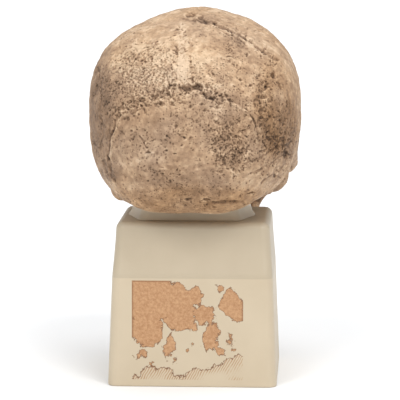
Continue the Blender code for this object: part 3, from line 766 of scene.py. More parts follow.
@dataclass(frozen=True)
class Layer:
    """Noise over the whole skin, and what its crests add. size is its widest wave, in millimetres."""

    seed: int
    size: float
    octaves: int
    rise: float = 0.0
    tone: float = 0.0
    grey: float = 0.0
    pores: float = 0.0

    def lay(self, relief: Relief, own: np.ndarray) -> None:
        """Adds the noise at the skull's own places."""
        noise = Grain(self.seed).rough(own, self.size, self.octaves)
        relief.add(noise, self.rise, self.tone, self.grey, self.pores)


@dataclass(frozen=True)
class Sway:
    """A wander of the marks' outlines: its waves' width and its reach, in millimetres."""

    seeds: tuple[int, int]
    size: float
    reach: float

    def drift(self, own: np.ndarray) -> list[np.ndarray]:
        """Returns the wander across and up at each place, of about -1 to 1."""
        return [Grain(seed).smooth(own, self.size) for seed in self.seeds]


@dataclass(frozen=True)
class Pocks:
    """Small holes scattered one to a cell, kept where the skin is porous.

    cell and depth are in millimetres. A hole's half width is least to least + more, in cells, and rim is
    where its wall begins and ends, as shares of that. keep is how porous the skin is round the hardiest
    hole, fade is over how much more the hole grows whole, and spread is how much more the last one needs.
    """

    seed: int
    cell: float
    depth: float
    dark: float = 0.22
    least: float = 0.14
    more: float = 0.22
    rim: Pair = (0.4, 1.2)
    keep: float = 0.25
    fade: float = 0.2
    spread: float = 0.6

    def lay(self, relief: Relief, own: np.ndarray) -> None:
        """Sinks the holes.

        Args:
            relief: what they are added to.
            own: the vertices' places in the skull's own millimetres.
        """
        away, share = Grain(self.seed).dots(own, self.cell)
        reach = self.least + self.more * np.abs(share * 2 - 1)
        first = self.keep + self.spread * share
        hole = (1.0 - ease(away / reach, *self.rim)) * ease(relief.pores, first, first + self.fade)
        relief.add(hole, rise=-self.depth, tone=-self.dark)


@dataclass(frozen=True)
class SutureLines:
    """The lines where bones meet, open along some stretches. Lengths are in millimetres."""

    seed: int = 34
    stretch: float = 12.0
    open_share: float = 0.35
    edge: Pair = (0.2, 1.1)
    depth: float = 0.45
    dark: float = 0.20

    def lay(self, relief: Relief, own: np.ndarray, seams: np.ndarray) -> None:
        """Sinks the lines, given each vertex's distance from the nearest one."""
        opened = np.clip(self.open_share + Grain(self.seed).smooth(own, self.stretch), 0.0, 1.0)
        relief.add((1.0 - ease(seams, *self.edge)) * opened, rise=-self.depth, tone=-self.dark)


@dataclass(frozen=True)
class HairCracks:
    """Fine drying cracks on the sides and the face, in patches.

    They run where noise of a size crosses nought. Lengths are in millimetres, and on_back is the share
    of their depth that they keep where the photo looks.
    """

    seed: int = 38
    size: float = 44.0
    octaves: int = 3
    keep: float = 0.38
    line: Pair = (0.003, 0.012)
    patch_seed: int = 39
    patch: float = 26.0
    patch_edge: Pair = (0.10, 0.40)
    on_back: float = 0.2
    depth: float = 0.4
    dark: float = 0.20

    def lay(self, relief: Relief, own: np.ndarray, seen: np.ndarray) -> None:
        """Sinks the cracks.

        Args:
            relief: what they are added to.
            own: the vertices' places in the skull's own millimetres.
            seen: 1 where the photo shows the skin squarely, 0 where it doesn't.
        """
        off = np.abs(Grain(self.seed).rough(own, self.size, self.octaves, self.keep))
        held = ease(Grain(self.patch_seed).smooth(own, self.patch), *self.patch_edge)
        here = 1.0 - (1.0 - self.on_back) * seen
        relief.add((1.0 - ease(off, *self.line)) * held * here, rise=-self.depth, tone=-self.dark)


@dataclass(frozen=True)
class SideGrain:
    """The weathered grain of the skull's two sides, leaning a little off upright.

    squeeze is what its places are scaled by, so that its waves are longer upward. sides is how far from
    the midline it begins and is whole. Lengths are in millimetres.
    """

    seed: int = 37
    lean_deg: float = 12.0
    squeeze: Triple = (0.5, 0.5, 0.10)
    size: float = 1.4
    octaves: int = 2
    sides: Pair = (52.0, 61.0)
    rise: float = 0.26
    tone: float = 0.12

    def lay(self, relief: Relief, own: np.ndarray) -> None:
        """Grooves the sides.

        Args:
            relief: what the grain is added to.
            own: the vertices' places in the skull's own millimetres.
        """
        lean = np.array(Matrix.Rotation(math.radians(self.lean_deg), 3, "X"))
        groove = Grain(self.seed).rough(own @ lean * np.array(self.squeeze), self.size, self.octaves)
        relief.add(ease(np.abs(own[:, 0]), *self.sides) * groove, self.rise, self.tone)


@dataclass(frozen=True)
class PaintedShadeAndDirt:
    """Tone by form: hollows darker with dirt and painted shade, crests paler with wear and painted highlight.

    rounds is how widely the form round a vertex is taken. hollow and crest are how far it lies under or
    over that form, in millimetres, where the tone begins to change and where it is changed in full.
    """

    rounds: int
    dark: float
    hollow: Pair
    pale: float = 0.0
    crest: Pair = (0.0, 1.0)

    def lay(self, relief: Relief, skin: Skin) -> None:
        """Tones the skin by its present form.

        Args:
            relief: what the tone is added to.
            skin: the skin.
        """
        under = skin.hollowness(self.rounds)
        relief.add(ease(under, *self.hollow), tone=-self.dark)
        relief.add(ease(-under, *self.crest), tone=self.pale)


@dataclass(frozen=True)
class SkinWork:
    """All the work that is strewn over the skin by rule, and the finish of the photo's own marks.

    Lengths are in millimetres. seen_from is how squarely a spot faces the camera where the photo's marks
    begin and are whole. The dark values turn a mark's stain into tone, which in the cracks is painted shade
    as well. The broken values vary how far open the cracks are along their run, and the lip values place,
    raise and pale the edge beside a crack, the paling a painted highlight on the raised lip.
    """

    mean_tone: float = 0.75
    mean_pores: float = 0.24
    seen_from: Pair = (0.04, 0.22)
    wide_sway: Sway = Sway((11, 12), 4.5, 0.7)
    small_sway: Sway = Sway((13, 14), 1.7, 0.42)
    layers: tuple[Layer, ...] = (
        Layer(21, 26.0, 2, rise=0.75),
        Layer(22, 9.0, 3, rise=0.62),
        Layer(23, 42.0, 2, tone=0.14),
        Layer(24, 8.0, 3, tone=0.27),
        Layer(25, 24.0, 2, grey=0.14),
        Layer(26, 30.0, 2, pores=0.6),
        Layer(35, 2.8, 2, rise=0.21),
        Layer(36, 2.8, 2, tone=0.19),
    )
    pocks: tuple[Pocks, ...] = (Pocks(31, 4.4, 0.75), Pocks(32, 2.3, 0.45))
    pock_sway: float = 0.5
    pit_dark: float = 0.44
    pit_margin: float = 0.3
    crack_dark: float = 0.58
    crack_wall: Pair = (0.25, 1.15)
    broken_seed: int = 33
    broken_stretch: float = 5.0
    broken_mean: float = 0.65
    broken_swing: float = 0.6
    broken_least: float = 0.2
    lip_off: float = 1.7
    lip_width: float = 1.1
    lip_rise: float = 0.7
    # lip_pale is a painted highlight on the raised lip.
    lip_pale: float = 0.10
    sutures: SutureLines = SutureLines()
    hair_cracks: HairCracks = HairCracks()
    side_grain: SideGrain = SideGrain()
    # Both darken the hollows and pale the crests: dirt and wear, with painted shade and painted highlight.
    old_dirt_and_shade: tuple[PaintedShadeAndDirt, ...] = (PaintedShadeAndDirt(60, 0.16, (0.8, 6.0)), PaintedShadeAndDirt(8, 0.10, (0.10, 0.6), 0.06, (0.10, 0.6)))
    fresh_dirt_and_shade: PaintedShadeAndDirt = PaintedShadeAndDirt(4, 0.30, (0.03, 0.30), 0.15, (0.02, 0.18))

    def started(self, count: int) -> Relief:
        """Returns the relief of a plain skin of so many vertices."""
        return Relief(*(np.full(count, start) for start in (0.0, self.mean_tone, 0.0, self.mean_pores)))

    def lay_crack(self, relief: Relief, crack: Crack, across: np.ndarray, up: np.ndarray,
                  seen: np.ndarray, broken: np.ndarray) -> None:
        """Opens one crack of the photo and raises its lip.

        Args:
            relief: what the crack is added to.
            crack: the crack.
            across: the vertices' places in the photo's plane.
            up: the same, upward.
            seen: 1 where the camera sees the vertex squarely, 0 where it doesn't.
            broken: how far open a crack is at each vertex.
        """
        away, signed = crack.distance(across, up)
        share = (1.0 - ease(away / crack.width, *self.crack_wall)) * seen * broken
        # The crack's floor is darkened: stain, with painted shade.
        relief.add(share, rise=-crack.depth, tone=-crack.dark * self.crack_dark)
        if crack.lip:
            beside = np.exp(-((signed * np.sign(crack.lip) - self.lip_off) / self.lip_width) ** 2) * seen
            # The raised lip is paled: a painted highlight.
            relief.add(abs(crack.lip) * beside, rise=self.lip_rise, tone=self.lip_pale)

    def sunk_pits(self, pits: list[Pit], across: np.ndarray, up: np.ndarray,
                  seen: np.ndarray) -> tuple[np.ndarray, np.ndarray]:
        """Sinks the back's pits.

        Args:
            pits: every pit.
            across: the vertices' places in the photo's plane.
            up: the same, upward.
            seen: 1 where the camera sees the vertex squarely, 0 where it doesn't.

        Returns:
            How deep each vertex sinks, in millimetres, and how stained it is.
        """
        sunk, stain = np.zeros(len(across)), np.zeros(len(across))
        shown = np.flatnonzero(seen > 0.02)
        search = KDTree(len(shown))
        for index in shown:
            search.insert((across[index], up[index], 0.0), int(index))
        search.balance()
        for pit in pits:
            near = search.find_range((pit.across, pit.up, 0.0), 0.6 * pit.length + self.pit_margin)
            held = np.array([index for _, index, _ in near], np.int64)
            if len(held):
                share = pit.field(across[held], up[held]) * seen[held]
                sunk[held] = np.maximum(sunk[held], pit.depth * share)
                stain[held] = np.maximum(stain[held], pit.dark * share)
        return sunk, stain

    def lay(self, skin: Skin, own: np.ndarray, seams: np.ndarray, view: PhotoView,
            marks: FossilMarks) -> Relief:
        """Works out the whole surface and its tones.

        Args:
            skin: the smooth skin.
            own: the vertices' places in the skull's own millimetres.
            seams: each vertex's distance from the nearest suture.
            view: the photo's camera.
            marks: the marks that the photo shows.

        Returns:
            What the work comes to.
        """
        across, up, facing = view.seen(skin.places, skin.normals)
        wide, small = self.wide_sway.drift(own), self.small_sway.drift(own)
        across = across + self.wide_sway.reach * wide[0] + self.small_sway.reach * small[0]
        up = up + self.wide_sway.reach * wide[1] + self.small_sway.reach * small[1]
        seen = ease(facing, *self.seen_from)
        relief = self.started(len(own))
        for layer in self.layers:
            layer.lay(relief, own)
        for zone in marks.zones:
            relief.add(zone.field(across, up) * seen, tone=zone.tone, grey=zone.grey, pores=zone.pores)
        relief.pores = np.clip(relief.pores, 0.0, 1.0)
        for pocks in self.pocks:
            pocks.lay(relief, own + self.pock_sway * np.stack([*small, small[0]], 1))
        sunk, stain = self.sunk_pits(marks.every_pit(), across, up, seen)
        relief.add(sunk, rise=-1.0)
        relief.add(stain, tone=-self.pit_dark)
        gaps = Grain(self.broken_seed).smooth(own, self.broken_stretch)
        broken = np.clip(self.broken_mean + self.broken_swing * gaps, self.broken_least, 1.0)
        for crack in marks.cracks:
            self.lay_crack(relief, crack, across, up, seen, broken)
        self.sutures.lay(relief, own, seams)
        self.hair_cracks.lay(relief, own, seen)
        self.side_grain.lay(relief, own)
        # Darker hollows and paler crests: dirt and wear, with painted shade and painted highlight.
        for form_tone in self.old_dirt_and_shade:
            form_tone.lay(relief, skin)
        return relief


# The cranium


@dataclass
class Cranium:
    """The skull cast: one worked skin, parted into the bones of the solids.

    The solids are grown by seam_overlap so that the skin closes over their seams, and the skin is sunk
    again by sink_share of that. Under tooth_line the jaw's edge sinks by tooth_sink, where the crowns
    stand. suture_reach is how far from a suture its distance is told. The tooth and suture sizes are in
    millimetres, and the other lengths in metres.
    """

    view: PhotoView
    marks: FossilMarks = field(default_factory=FossilMarks)
    work: SkinWork = field(default_factory=SkinWork)
    palette: BonePalette = field(default_factory=BonePalette)
    seam_overlap: float = 0.35 * MM
    sink_share: float = 0.85
    voxel: float = 1.35 * MM
    quick_voxel: float = 2.1 * MM
    smoothing: int = 11
    wall_keep: float = 0.10
    wall: float = 2.2 * MM
    place: Triple = (-0.76 * MM, 5.38 * MM, 129.0 * MM)
    yaw_deg: float = -2.0
    tooth_line: float = -48.0
    tooth_fade: Pair = (-0.8, 0.2)
    tooth_sink: float = 1.0
    suture_seeds: tuple[int, ...] = (3, 4, 5)
    suture_wave: float = 6.0
    suture_wander: float = 1.6
    suture_reach: float = 6.0

    def own_mm(self, places: np.ndarray) -> np.ndarray:
        """Turns frame places into the skull's own.

        Args:
            places: rows of three, in metres.

        Returns:
            The same in millimetres from midway between the ears.
        """
        angle = math.radians(-self.yaw_deg)
        east, north = math.cos(angle), math.sin(angle)
        turn = np.array(((east, north, 0), (-north, east, 0), (0, 0, 1)))
        return (places - np.array(self.place)) / MM @ turn

    def solids(self) -> tuple[bmesh.types.BMesh, list[int]]:
        """Joins merged copies of the bones' solids, each grown to overlap its neighbours.

        Returns:
            The joined bmesh, and for each of its faces the number of its bone.
        """
        joined = bmesh.new()
        owners: list[int] = []
        for index, bone in enumerate(Bone):
            part = bmesh.new()
            part.from_mesh(frame["nodes"][bone.value].data)
            bmesh.ops.remove_doubles(part, verts=part.verts, dist=0.01 * MM)
            part.normal_update()
            moves = [vert.normal * self.seam_overlap for vert in part.verts]
            for vert, move in zip(part.verts, moves):
                vert.co += move
            copy = bpy.data.meshes.new("solid_copy")
            part.to_mesh(copy)
            owners += [index] * len(part.faces)
            part.free()
            joined.from_mesh(copy)
            bpy.data.meshes.remove(copy)
        return joined, owners

    def laid_skin(self) -> bpy.types.Object:
        """Lays one even skin over the bones' solids and marks each face with its bone.

        Returns:
            The skin's object.
        """
        joined, owners = self.solids()
        joined.faces.ensure_lookup_table()
        tree = BVHTree.FromBMesh(joined)
        skin = object_from(joined, "skin")
        grid = skin.modifiers.new("even", "REMESH")
        grid.mode, grid.voxel_size = "VOXEL", self.voxel
        soft = skin.modifiers.new("soft", "SMOOTH")
        soft.factor, soft.iterations = 0.5, self.smoothing
        settle(skin)
        bm = bmesh.new()
        bm.from_mesh(skin.data)
        self.keep_largest(bm)
        bm.to_mesh(skin.data)
        bm.free()
        mark = skin.data.attributes.new("bone", "INT", "FACE")
        mark.data.foreach_set("value", self.bone_of_faces(skin.data, tree, owners))
        fine = skin.modifiers.new("fine", "SUBSURF")
        fine.levels = fine.render_levels = 1
        return settle(skin)

    @staticmethod
    def keep_largest(bm: bmesh.types.BMesh) -> None:
        """Deletes all but the largest connected surface.

        Args:
            bm: the mesh.
        """
        seen: set[int] = set()
        islands: list[list[bmesh.types.BMVert]] = []
        bm.verts.ensure_lookup_table()
        for start in bm.verts:
            if start.index in seen:
                continue
            seen.add(start.index)
            island, queue = [], [start]
            while queue:
                vert = queue.pop()
                island.append(vert)
                for edge in vert.link_edges:
                    other = edge.other_vert(vert)
                    if other.index not in seen:
                        seen.add(other.index)
                        queue.append(other)
            islands.append(island)
        largest = max(islands, key=len)
        loose = [vert for island in islands if island is not largest for vert in island]
        bmesh.ops.delete(bm, geom=loose, context="VERTS")

    def bone_of_faces(self, mesh: bpy.types.Mesh, tree: BVHTree, owners: list[int]) -> np.ndarray:
        """Finds each face's bone, with the sutures' teeth drawn finer than the solids have them.

        Args:
            mesh: the skin.
            tree: the joined solids.
            owners: the number of the bone of each face of the solids.

        Returns:
            The number of each skin face's bone.
        """
        centres = vectors_of(mesh.polygons, "center")
        own = self.own_mm(centres)
        wander = np.stack([Grain(seed).rough(own, self.suture_wave, 2, 0.7) for seed in self.suture_seeds], 1)
        looked = centres + wander * self.suture_wander * MM
        found = [tree.find_nearest(Vector(spot))[2] for spot in looked]
        labels = np.array([owners[index] for index in found], np.int32)
        return self.without_scraps(mesh, labels)

    @staticmethod
    def without_scraps(mesh: bpy.types.Mesh, labels: np.ndarray) -> np.ndarray:
        """Gives each bone's lesser islands to the bone round them.

        Args:
            mesh: the skin.
            labels: the number of each face's bone.

        Returns:
            The same numbers, with one island left for each bone.
        """
        sides: list[list[int]] = [[] for _ in mesh.edges]
        for polygon in mesh.polygons:
            for loop in mesh.loops[polygon.loop_start:polygon.loop_start + polygon.loop_total]:
                sides[loop.edge_index].append(polygon.index)
        beside: list[list[int]] = [[] for _ in labels]
        for one, two in sides:
            beside[one].append(two)
            beside[two].append(one)
        named = labels.tolist()
        seen = [False] * len(named)
        islands: dict[int, list[list[int]]] = {}
        for start, label in enumerate(named):
            if seen[start]:
                continue
            seen[start] = True
            island = [start]
            for face in island:
                for other in beside[face]:
                    if not seen[other] and named[other] == label:
                        seen[other] = True
                        island.append(other)
            islands.setdefault(label, []).append(island)
        for label, held in islands.items():
            held.sort(key=len)
            for island in held[:-1]:
                around = [named[other] for face in island for other in beside[face] if named[other] != label]
                for face in island:
                    named[face] = max(set(around), key=around.count)
        return np.array(named, np.int32)

    def seams(self, skin: Skin, labels: np.ndarray) -> np.ndarray:
        """Measures how far the skin lies from the sutures.

        Args:
            skin: the skin.
            labels: the number of each face's bone.

        Returns:
            Each vertex's distance from the nearest suture, in millimetres, up to suture_reach.
        """
        low = np.full(len(skin.places), len(Bone), np.int32)
        high = np.full(len(skin.places), -1, np.int32)
        corners = rows_of(skin.mesh.loops, "vertex_index")
        spread = np.repeat(labels, rows_of(skin.mesh.polygons, "loop_total"))
        np.minimum.at(low, corners, spread)
        np.maximum.at(high, corners, spread)
        edge = np.flatnonzero(low != high)
        search = KDTree(len(edge))
        for index in edge:
            search.insert(skin.places[index], int(index))
        search.balance()
        return np.array([min(search.find(spot)[2] / MM, self.suture_reach) for spot in skin.places])

    def build(self) -> list[bpy.types.Object]:
        """Builds every bone.

        Returns:
            The bones' objects.
        """
        obj = self.laid_skin()
        skin = Skin(obj.data)
        skin.write(skin.places - skin.normals * self.seam_overlap * self.sink_share)
        LOG.info("skin laid: %d vertices", len(skin.places))
        labels = rows_of(obj.data.attributes["bone"].data, "value")
        own = self.own_mm(skin.places)
        under = skin.places - skin.normals * self.wall
        relief = self.work.lay(skin, own, self.seams(skin, labels), self.view, self.marks)
        in_teeth = 1.0 - ease(own[:, 2], *(self.tooth_line + off for off in self.tooth_fade))
        rise = relief.rise * (1.0 - in_teeth) - self.tooth_sink * in_teeth
        skin.write(skin.places + skin.normals * (rise * MM)[:, None])
        # Once more on the worked relief: the fine hollows darker and the fine crests paler, as dirt and wear
        # with painted shade and painted highlight.
        self.work.fresh_dirt_and_shade.lay(relief, skin)
        tint = self.palette.paint(np.clip(relief.tone, 0.0, 1.0), relief.grey)
        self.store(obj.data, "under", "FLOAT_VECTOR", "vector", under)
        self.store(obj.data, "tint", "FLOAT_COLOR", "color", tint)
        self.store(obj.data, "pores", "FLOAT", "value", relief.pores)
        made = [self.bone_piece(obj.data, index, bone) for index, bone in enumerate(Bone)]
        mesh = obj.data
        bpy.data.objects.remove(obj)
        bpy.data.meshes.remove(mesh)
        return made

    @staticmethod
    def store(mesh: bpy.types.Mesh, name: str, kind: str, part: str, rows: np.ndarray) -> None:
        """Stores rows as a vertex attribute of a mesh."""
        attribute = mesh.attributes.new(name, kind, "POINT")
        attribute.data.foreach_set(part, rows.astype(np.float32).ravel())

    def bone_piece(self, mesh: bpy.types.Mesh, index: int, bone: Bone) -> bpy.types.Object:
        """Cuts one bone out of the skin and gives it its wall.

        Args:
            mesh: the worked skin.
            index: the bone's number among the skin's labels.
            bone: the bone.

        Returns:
            The bone's object, one closed shell.
        """
        bm = bmesh.new()
        bm.from_mesh(mesh)
        # deep is 0 on the outside, 0.5 on the wall's rim and 1 on its hidden side
        deep = bm.verts.layers.float.new("deep")
        under = bm.verts.layers.float_vector["under"]
        mark = bm.faces.layers.int["bone"]
        others = [face for face in bm.faces if face[mark] != index]
        bmesh.ops.delete(bm, geom=others, context="FACES")
        inner = bm.verts[:]
        rim = [vert.is_boundary for vert in inner]
        whole = bm.faces[:] + bm.edges[:] + inner
        bmesh.ops.extrude_face_region(bm, geom=whole, use_keep_orig=True)
        for vert, edge in zip(inner, rim):
            vert.co = vert[under]
            vert[deep] = 0.5 if edge else 1.0
        bmesh.ops.recalc_face_normals(bm, faces=bm.faces)
        obj = object_from(bm, bone.value + "_cast")
        self.thin_wall(obj)
        return hand_over(obj, bone.value)

    def thin_wall(self, obj: bpy.types.Object) -> None:
        """Makes a bone's hidden inner wall coarse, and its outside smooth with a sharp rim.

        Args:
            obj: the bone, with its walls marked deep.
        """
        depth = rows_of(obj.data.attributes["deep"].data, "value", kind=np.float32)
        wall = obj.vertex_groups.new(name="wall")
        wall.add(np.flatnonzero(depth > 0.75).tolist(), 1.0, "REPLACE")
        inside = float((depth > 0.25).mean())
        thin = obj.modifiers.new("thin", "DECIMATE")
        thin.vertex_group = wall.name
        thin.vertex_group_factor = 1000.0
        thin.ratio = 1.0 - inside * (1.0 - self.wall_keep)
        settle(obj)
        mesh = obj.data
        depth = rows_of(mesh.attributes["deep"].data, "value", kind=np.float32)
        counts = rows_of(mesh.polygons, "loop_total")
        starts = np.concatenate([[0], np.cumsum(counts)[:-1]])
        hidden = (depth[rows_of(mesh.loops, "vertex_index")] > 0.25).astype(np.int32)
        share = np.add.reduceat(hidden, starts) / counts
        mesh.polygons.foreach_set("use_smooth", share == 0.0)
        crossing = np.repeat((share > 0.0) & (share < 1.0), counts)
        sharp = np.zeros(len(mesh.edges), bool)
        sharp[rows_of(mesh.loops, "edge_index")[crossing]] = True
        mesh.edges.foreach_set("use_edge_sharp", sharp)
        for name in ("deep", "under", "bone"):
            mesh.attributes.remove(mesh.attributes[name])
        obj.vertex_groups.clear()


# The teeth


@dataclass(frozen=True)
class Tooth:
    """A worn cheek tooth.

    distance is its middle's place along the half arch. Its length, breadth and height are its crown's,
    and all are in millimetres.
    """

    name: str
    distance: float
    length: float
    breadth: float
    height: float
    cusps: tuple[Pair, ...] = ((0.42, 0.42), (0.42, -0.42), (-0.42, 0.42), (-0.42, -0.42))
    sides: tuple[int, ...] = (-1, 1)


@dataclass
class Dentition:
    """The cheek teeth that are left in the upper jaw, in millimetres of the skull's own frame.

    A crown is shaped on a unit ball, -1 at its chewing face and 1 at its root's end. chewing, neck_run
    and level_power are counted there, and cusp_spread and fissure_width across its unit half widths.
    """

    place: Triple
    yaw_deg: float
    jaw_edge: float
    half_breadth: float = 26.5
    front: float = -93.0
    bend: float = -70.0
    splay: float = 0.06
    straight: float = 60.0
    root: float = 4.0
    squareness: float = 3.0
    wall_power: float = 3.4
    level_power: float = 0.6
    neck: float = 0.86
    neck_run: Pair = (-0.1, 0.4)
    chewing: Pair = (0.4, 0.7)
    cusp_height: float = 0.75
    cusp_spread: float = 0.07
    fissure: float = 0.45
    fissure_width: float = 0.10
    around: int = 28
    rings: int = 22
    teeth: tuple[Tooth, ...] = (
        Tooth("premolar", 35.2, 7.1, 9.6, 6.6, ((0.46, 0.0), (-0.46, 0.0)), (-1,)),
        Tooth("first_molar", 44.5, 10.9, 11.6, 6.3),
        Tooth("second_molar", 55.2, 10.2, 11.9, 6.1),
        Tooth("third_molar", 64.6, 8.5, 10.3, 5.6, ((0.42, 0.42), (-0.40, 0.40), (0.2, -0.42))),
    )

    def arch_point(self, distance: float, side: int) -> Triple:
        """Finds a point of the dental arch.

        Args:
            distance: its distance along the half arch from the midline.
            side: 1 on the skull's left, -1 on its right.

        Returns:
            Its place across and along the skull, and the arch's heading there in radians.
        """
        angles = np.linspace(0.0, math.pi / 2, 41)
        across = self.half_breadth * np.sin(angles)
        along = self.bend - (self.bend - self.front) * np.cos(angles)
        across = np.append(across, self.half_breadth + self.splay * self.straight)
        along = np.append(along, self.bend + self.straight)
        run = np.concatenate([[0.0], np.cumsum(np.hypot(np.diff(across), np.diff(along)))])
        spot = [float(np.interp(distance, run, line)) for line in (across, along)]
        ahead = [float(np.interp(distance + 0.5, run, line)) for line in (across, along)]
        heading = math.atan2(ahead[0] - spot[0], ahead[1] - spot[1])
        return side * spot[0], spot[1], -side * heading

    @staticmethod
    def climb(value: float, run: Pair) -> float:
        """Rises straight from 0 at a run's start to 1 at its end."""
        return min(1.0, max(0.0, (value - run[0]) / (run[1] - run[0])))

    def shape(self, tooth: Tooth, bm: bmesh.types.BMesh) -> None:
        """Turns a unit ball into a crown on its neck, with the chewing face at height 0."""
        tall = tooth.height + self.root
        for vert in bm.verts:
            x, y, z = vert.co
            wide = 0.0
            if math.hypot(x, y) > 1e-6:
                wall = max(0.0, 1.0 - abs(z) ** self.wall_power) ** (1 / self.wall_power)
                wide = wall / (abs(x) ** self.squareness + abs(y) ** self.squareness) ** (1 / self.squareness)
            level = math.copysign(abs(z) ** self.level_power, z)
            waist = 1.0 - (1.0 - self.neck) * self.climb(level, self.neck_run)
            chewing = self.climb(-z, self.chewing)
            across, along = x * wide, y * wide
            relief = 0.0
            for cusp_x, cusp_y in tooth.cusps:
                away = (across - cusp_x) ** 2 + (along - cusp_y) ** 2
                relief -= self.cusp_height * math.exp(-away / self.cusp_spread) * chewing
            for off in (across, along):
                relief += self.fissure * math.exp(-(off / self.fissure_width) ** 2) * chewing
            vert.co = (across * waist * tooth.breadth / 2, along * waist * tooth.length / 2,
                       (level + 1) / 2 * tall + relief)

    def crown(self, tooth: Tooth, side: int, material: bpy.types.Material) -> bpy.types.Object:
        """Builds one tooth in its place.

        Args:
            tooth: the tooth.
            side: 1 on the skull's left, -1 on its right.
            material: its finish.

        Returns:
            The tooth's object.
        """
        bm = bmesh.new()
        bmesh.ops.create_uvsphere(bm, u_segments=self.around, v_segments=self.rings, radius=1.0)
        self.shape(tooth, bm)
        x, y, heading = self.arch_point(tooth.distance, side)
        drop = Matrix.Translation((x, y, self.jaw_edge - tooth.height)) @ Matrix.Rotation(heading, 4, "Z")
        skull = Matrix.Translation(self.place) @ Matrix.Rotation(math.radians(self.yaw_deg), 4, "Z")
        bmesh.ops.transform(bm, matrix=skull @ Matrix.Scale(MM, 4) @ drop, verts=bm.verts)
        bmesh.ops.recalc_face_normals(bm, faces=bm.faces)
        obj = object_from(bm, "%s_%s" % (tooth.name, "left" if side > 0 else "right"))
        obj.data.shade_smooth()
        obj.data.materials.append(material)
        return hand_over(obj)

    def build(self, material: bpy.types.Material) -> list[bpy.types.Object]:
        """Builds every tooth."""
        return [self.crown(tooth, side, material) for tooth in self.teeth for side in tooth.sides]


# Finishes


@dataclass(frozen=True)
class Bumps:
    """Relief too fine for the mesh: its waves' width and height in metres, and how strongly it shades."""

    size: float
    height: float
    strength: float
    detail: float = 3.0
    rough: float = 0.55


@dataclass
class NodeSheet:
    """A material's nodes, with short names for the ones used here."""

    name: str
    material: bpy.types.Material = field(init=False)
    shader: bpy.types.Node = field(init=False)

    def __post_init__(self) -> None:
        """Makes the material."""
        self.material = bpy.data.materials.new(self.name)
        self.material.use_nodes = True
        self.shader = self.material.node_tree.nodes["Principled BSDF"]

    def node(self, kind: str, **settings: object) -> bpy.types.Node:
        """Adds a node.

        Args:
            kind: the node's type.
            settings: its properties.

        Returns:
            The node.
        """
        made = self.material.node_tree.nodes.new(kind)
        for key, value in settings.items():
            setattr(made, key, value)
        return made

    def feed(self, socket: Socket, value: object) -> None:
        """Links an output to an input, or sets the input to a constant."""
        if isinstance(value, Socket):
            self.material.node_tree.links.new(value, socket)
        else:
            socket.default_value = value

    def math(self, operation: str, one: object, two: object = 0.0) -> Socket:
        """Works out a number.

        Args:
            operation: what is done.
            one: the first number.
            two: the second, where there is one.

        Returns:
            The result.
        """
        made = self.node("ShaderNodeMath", operation=operation)
        self.feed(made.inputs[0], one)
        self.feed(made.inputs[1], two)
        return made.outputs[0]

    def times(self, one: object, two: object) -> Socket:
        """Multiplies two numbers."""
        return self.math("MULTIPLY", one, two)

    def less(self, one: object, two: object) -> Socket:
        """Takes the second number from the first."""
        return self.math("SUBTRACT", one, two)

    def over(self, one: object, two: object) -> Socket:
        """Divides the first number by the second."""
        return self.math("DIVIDE", one, two)

    def span(self, value: object, low: float, high: float) -> Socket:
        """Stretches a number.

        Args:
            value: a number of 0 to 1.
            low: what 0 becomes.
            high: what 1 becomes.

        Returns:
            The stretched number.
        """
        made = self.node("ShaderNodeMapRange")
        self.feed(made.inputs["Value"], value)
        made.inputs["To Min"].default_value = low
        made.inputs["To Max"].default_value = high
        return made.outputs["Result"]

    def band(self, value: object, low: float, high: float) -> Socket:
        """Rises smoothly.

        Args:
            value: where to read the curve.
            low: the value at which it is 0.
            high: the value at which it is 1.

        Returns:
            The curve's height.
        """
        made = self.node("ShaderNodeMapRange", interpolation_type="SMOOTHSTEP")
        self.feed(made.inputs["Value"], value)
        made.inputs["From Min"].default_value = low
        made.inputs["From Max"].default_value = high
        return made.outputs["Result"]

    def mix(self, share: object, one: object, two: object, blend: str = "MIX") -> Socket:
        """Mixes two colours.

        Args:
            share: how much of the second is taken.
            one: the first colour.
            two: the second.
            blend: how the second is laid on the first.

        Returns:
            The mixed colour.
        """
        made = self.node("ShaderNodeMix", data_type="RGBA", blend_type=blend)
        self.feed(made.inputs["Factor"], share)
        self.feed(made.inputs[6], one)
        self.feed(made.inputs[7], two)
        return made.outputs[2]

    def place(self) -> Socket:
        """Returns the place in the object's own coordinates, in metres."""
        return self.node("ShaderNodeTexCoord").outputs["Object"]

    def noise(self, size: float, detail: float = 3.0, rough: float = 0.55) -> Socket:
        """Makes noise of 0 to 1.

        Args:
            size: the width of its widest waves, in metres.
            detail: how many finer layers it has.
            rough: each layer's strength as a share of the one before.

        Returns:
            The noise.
        """
        made = self.node("ShaderNodeTexNoise")
        self.feed(made.inputs["Vector"], self.place())
        made.inputs["Scale"].default_value = 1.0 / size
        made.inputs["Detail"].default_value = detail
        made.inputs["Roughness"].default_value = rough
        return made.outputs["Fac"]

    def bumps(self, relief: Bumps, below: Socket | None = None) -> Socket:
        """Tilts the surface by noise of a relief's size."""
        height = self.noise(relief.size, relief.detail, relief.rough)
        return self.bump(height, relief.height, relief.strength, below)

    def bump(self, height: object, distance: float, strength: float,
             below: Socket | None = None) -> Socket:
        """Tilts the surface by a height field.

        Args:
            height: the field, 0 to 1.
            distance: how high 1 stands, in metres.
            strength: how strongly it shades.
            below: the normal that it is laid on, if not the surface's own.

        Returns:
            The tilted normal.
        """
        made = self.node("ShaderNodeBump")
        made.inputs["Distance"].default_value = distance
        made.inputs["Strength"].default_value = strength
        self.feed(made.inputs["Height"], height)
        if below:
            self.feed(made.inputs["Normal"], below)
        return made.outputs["Normal"]


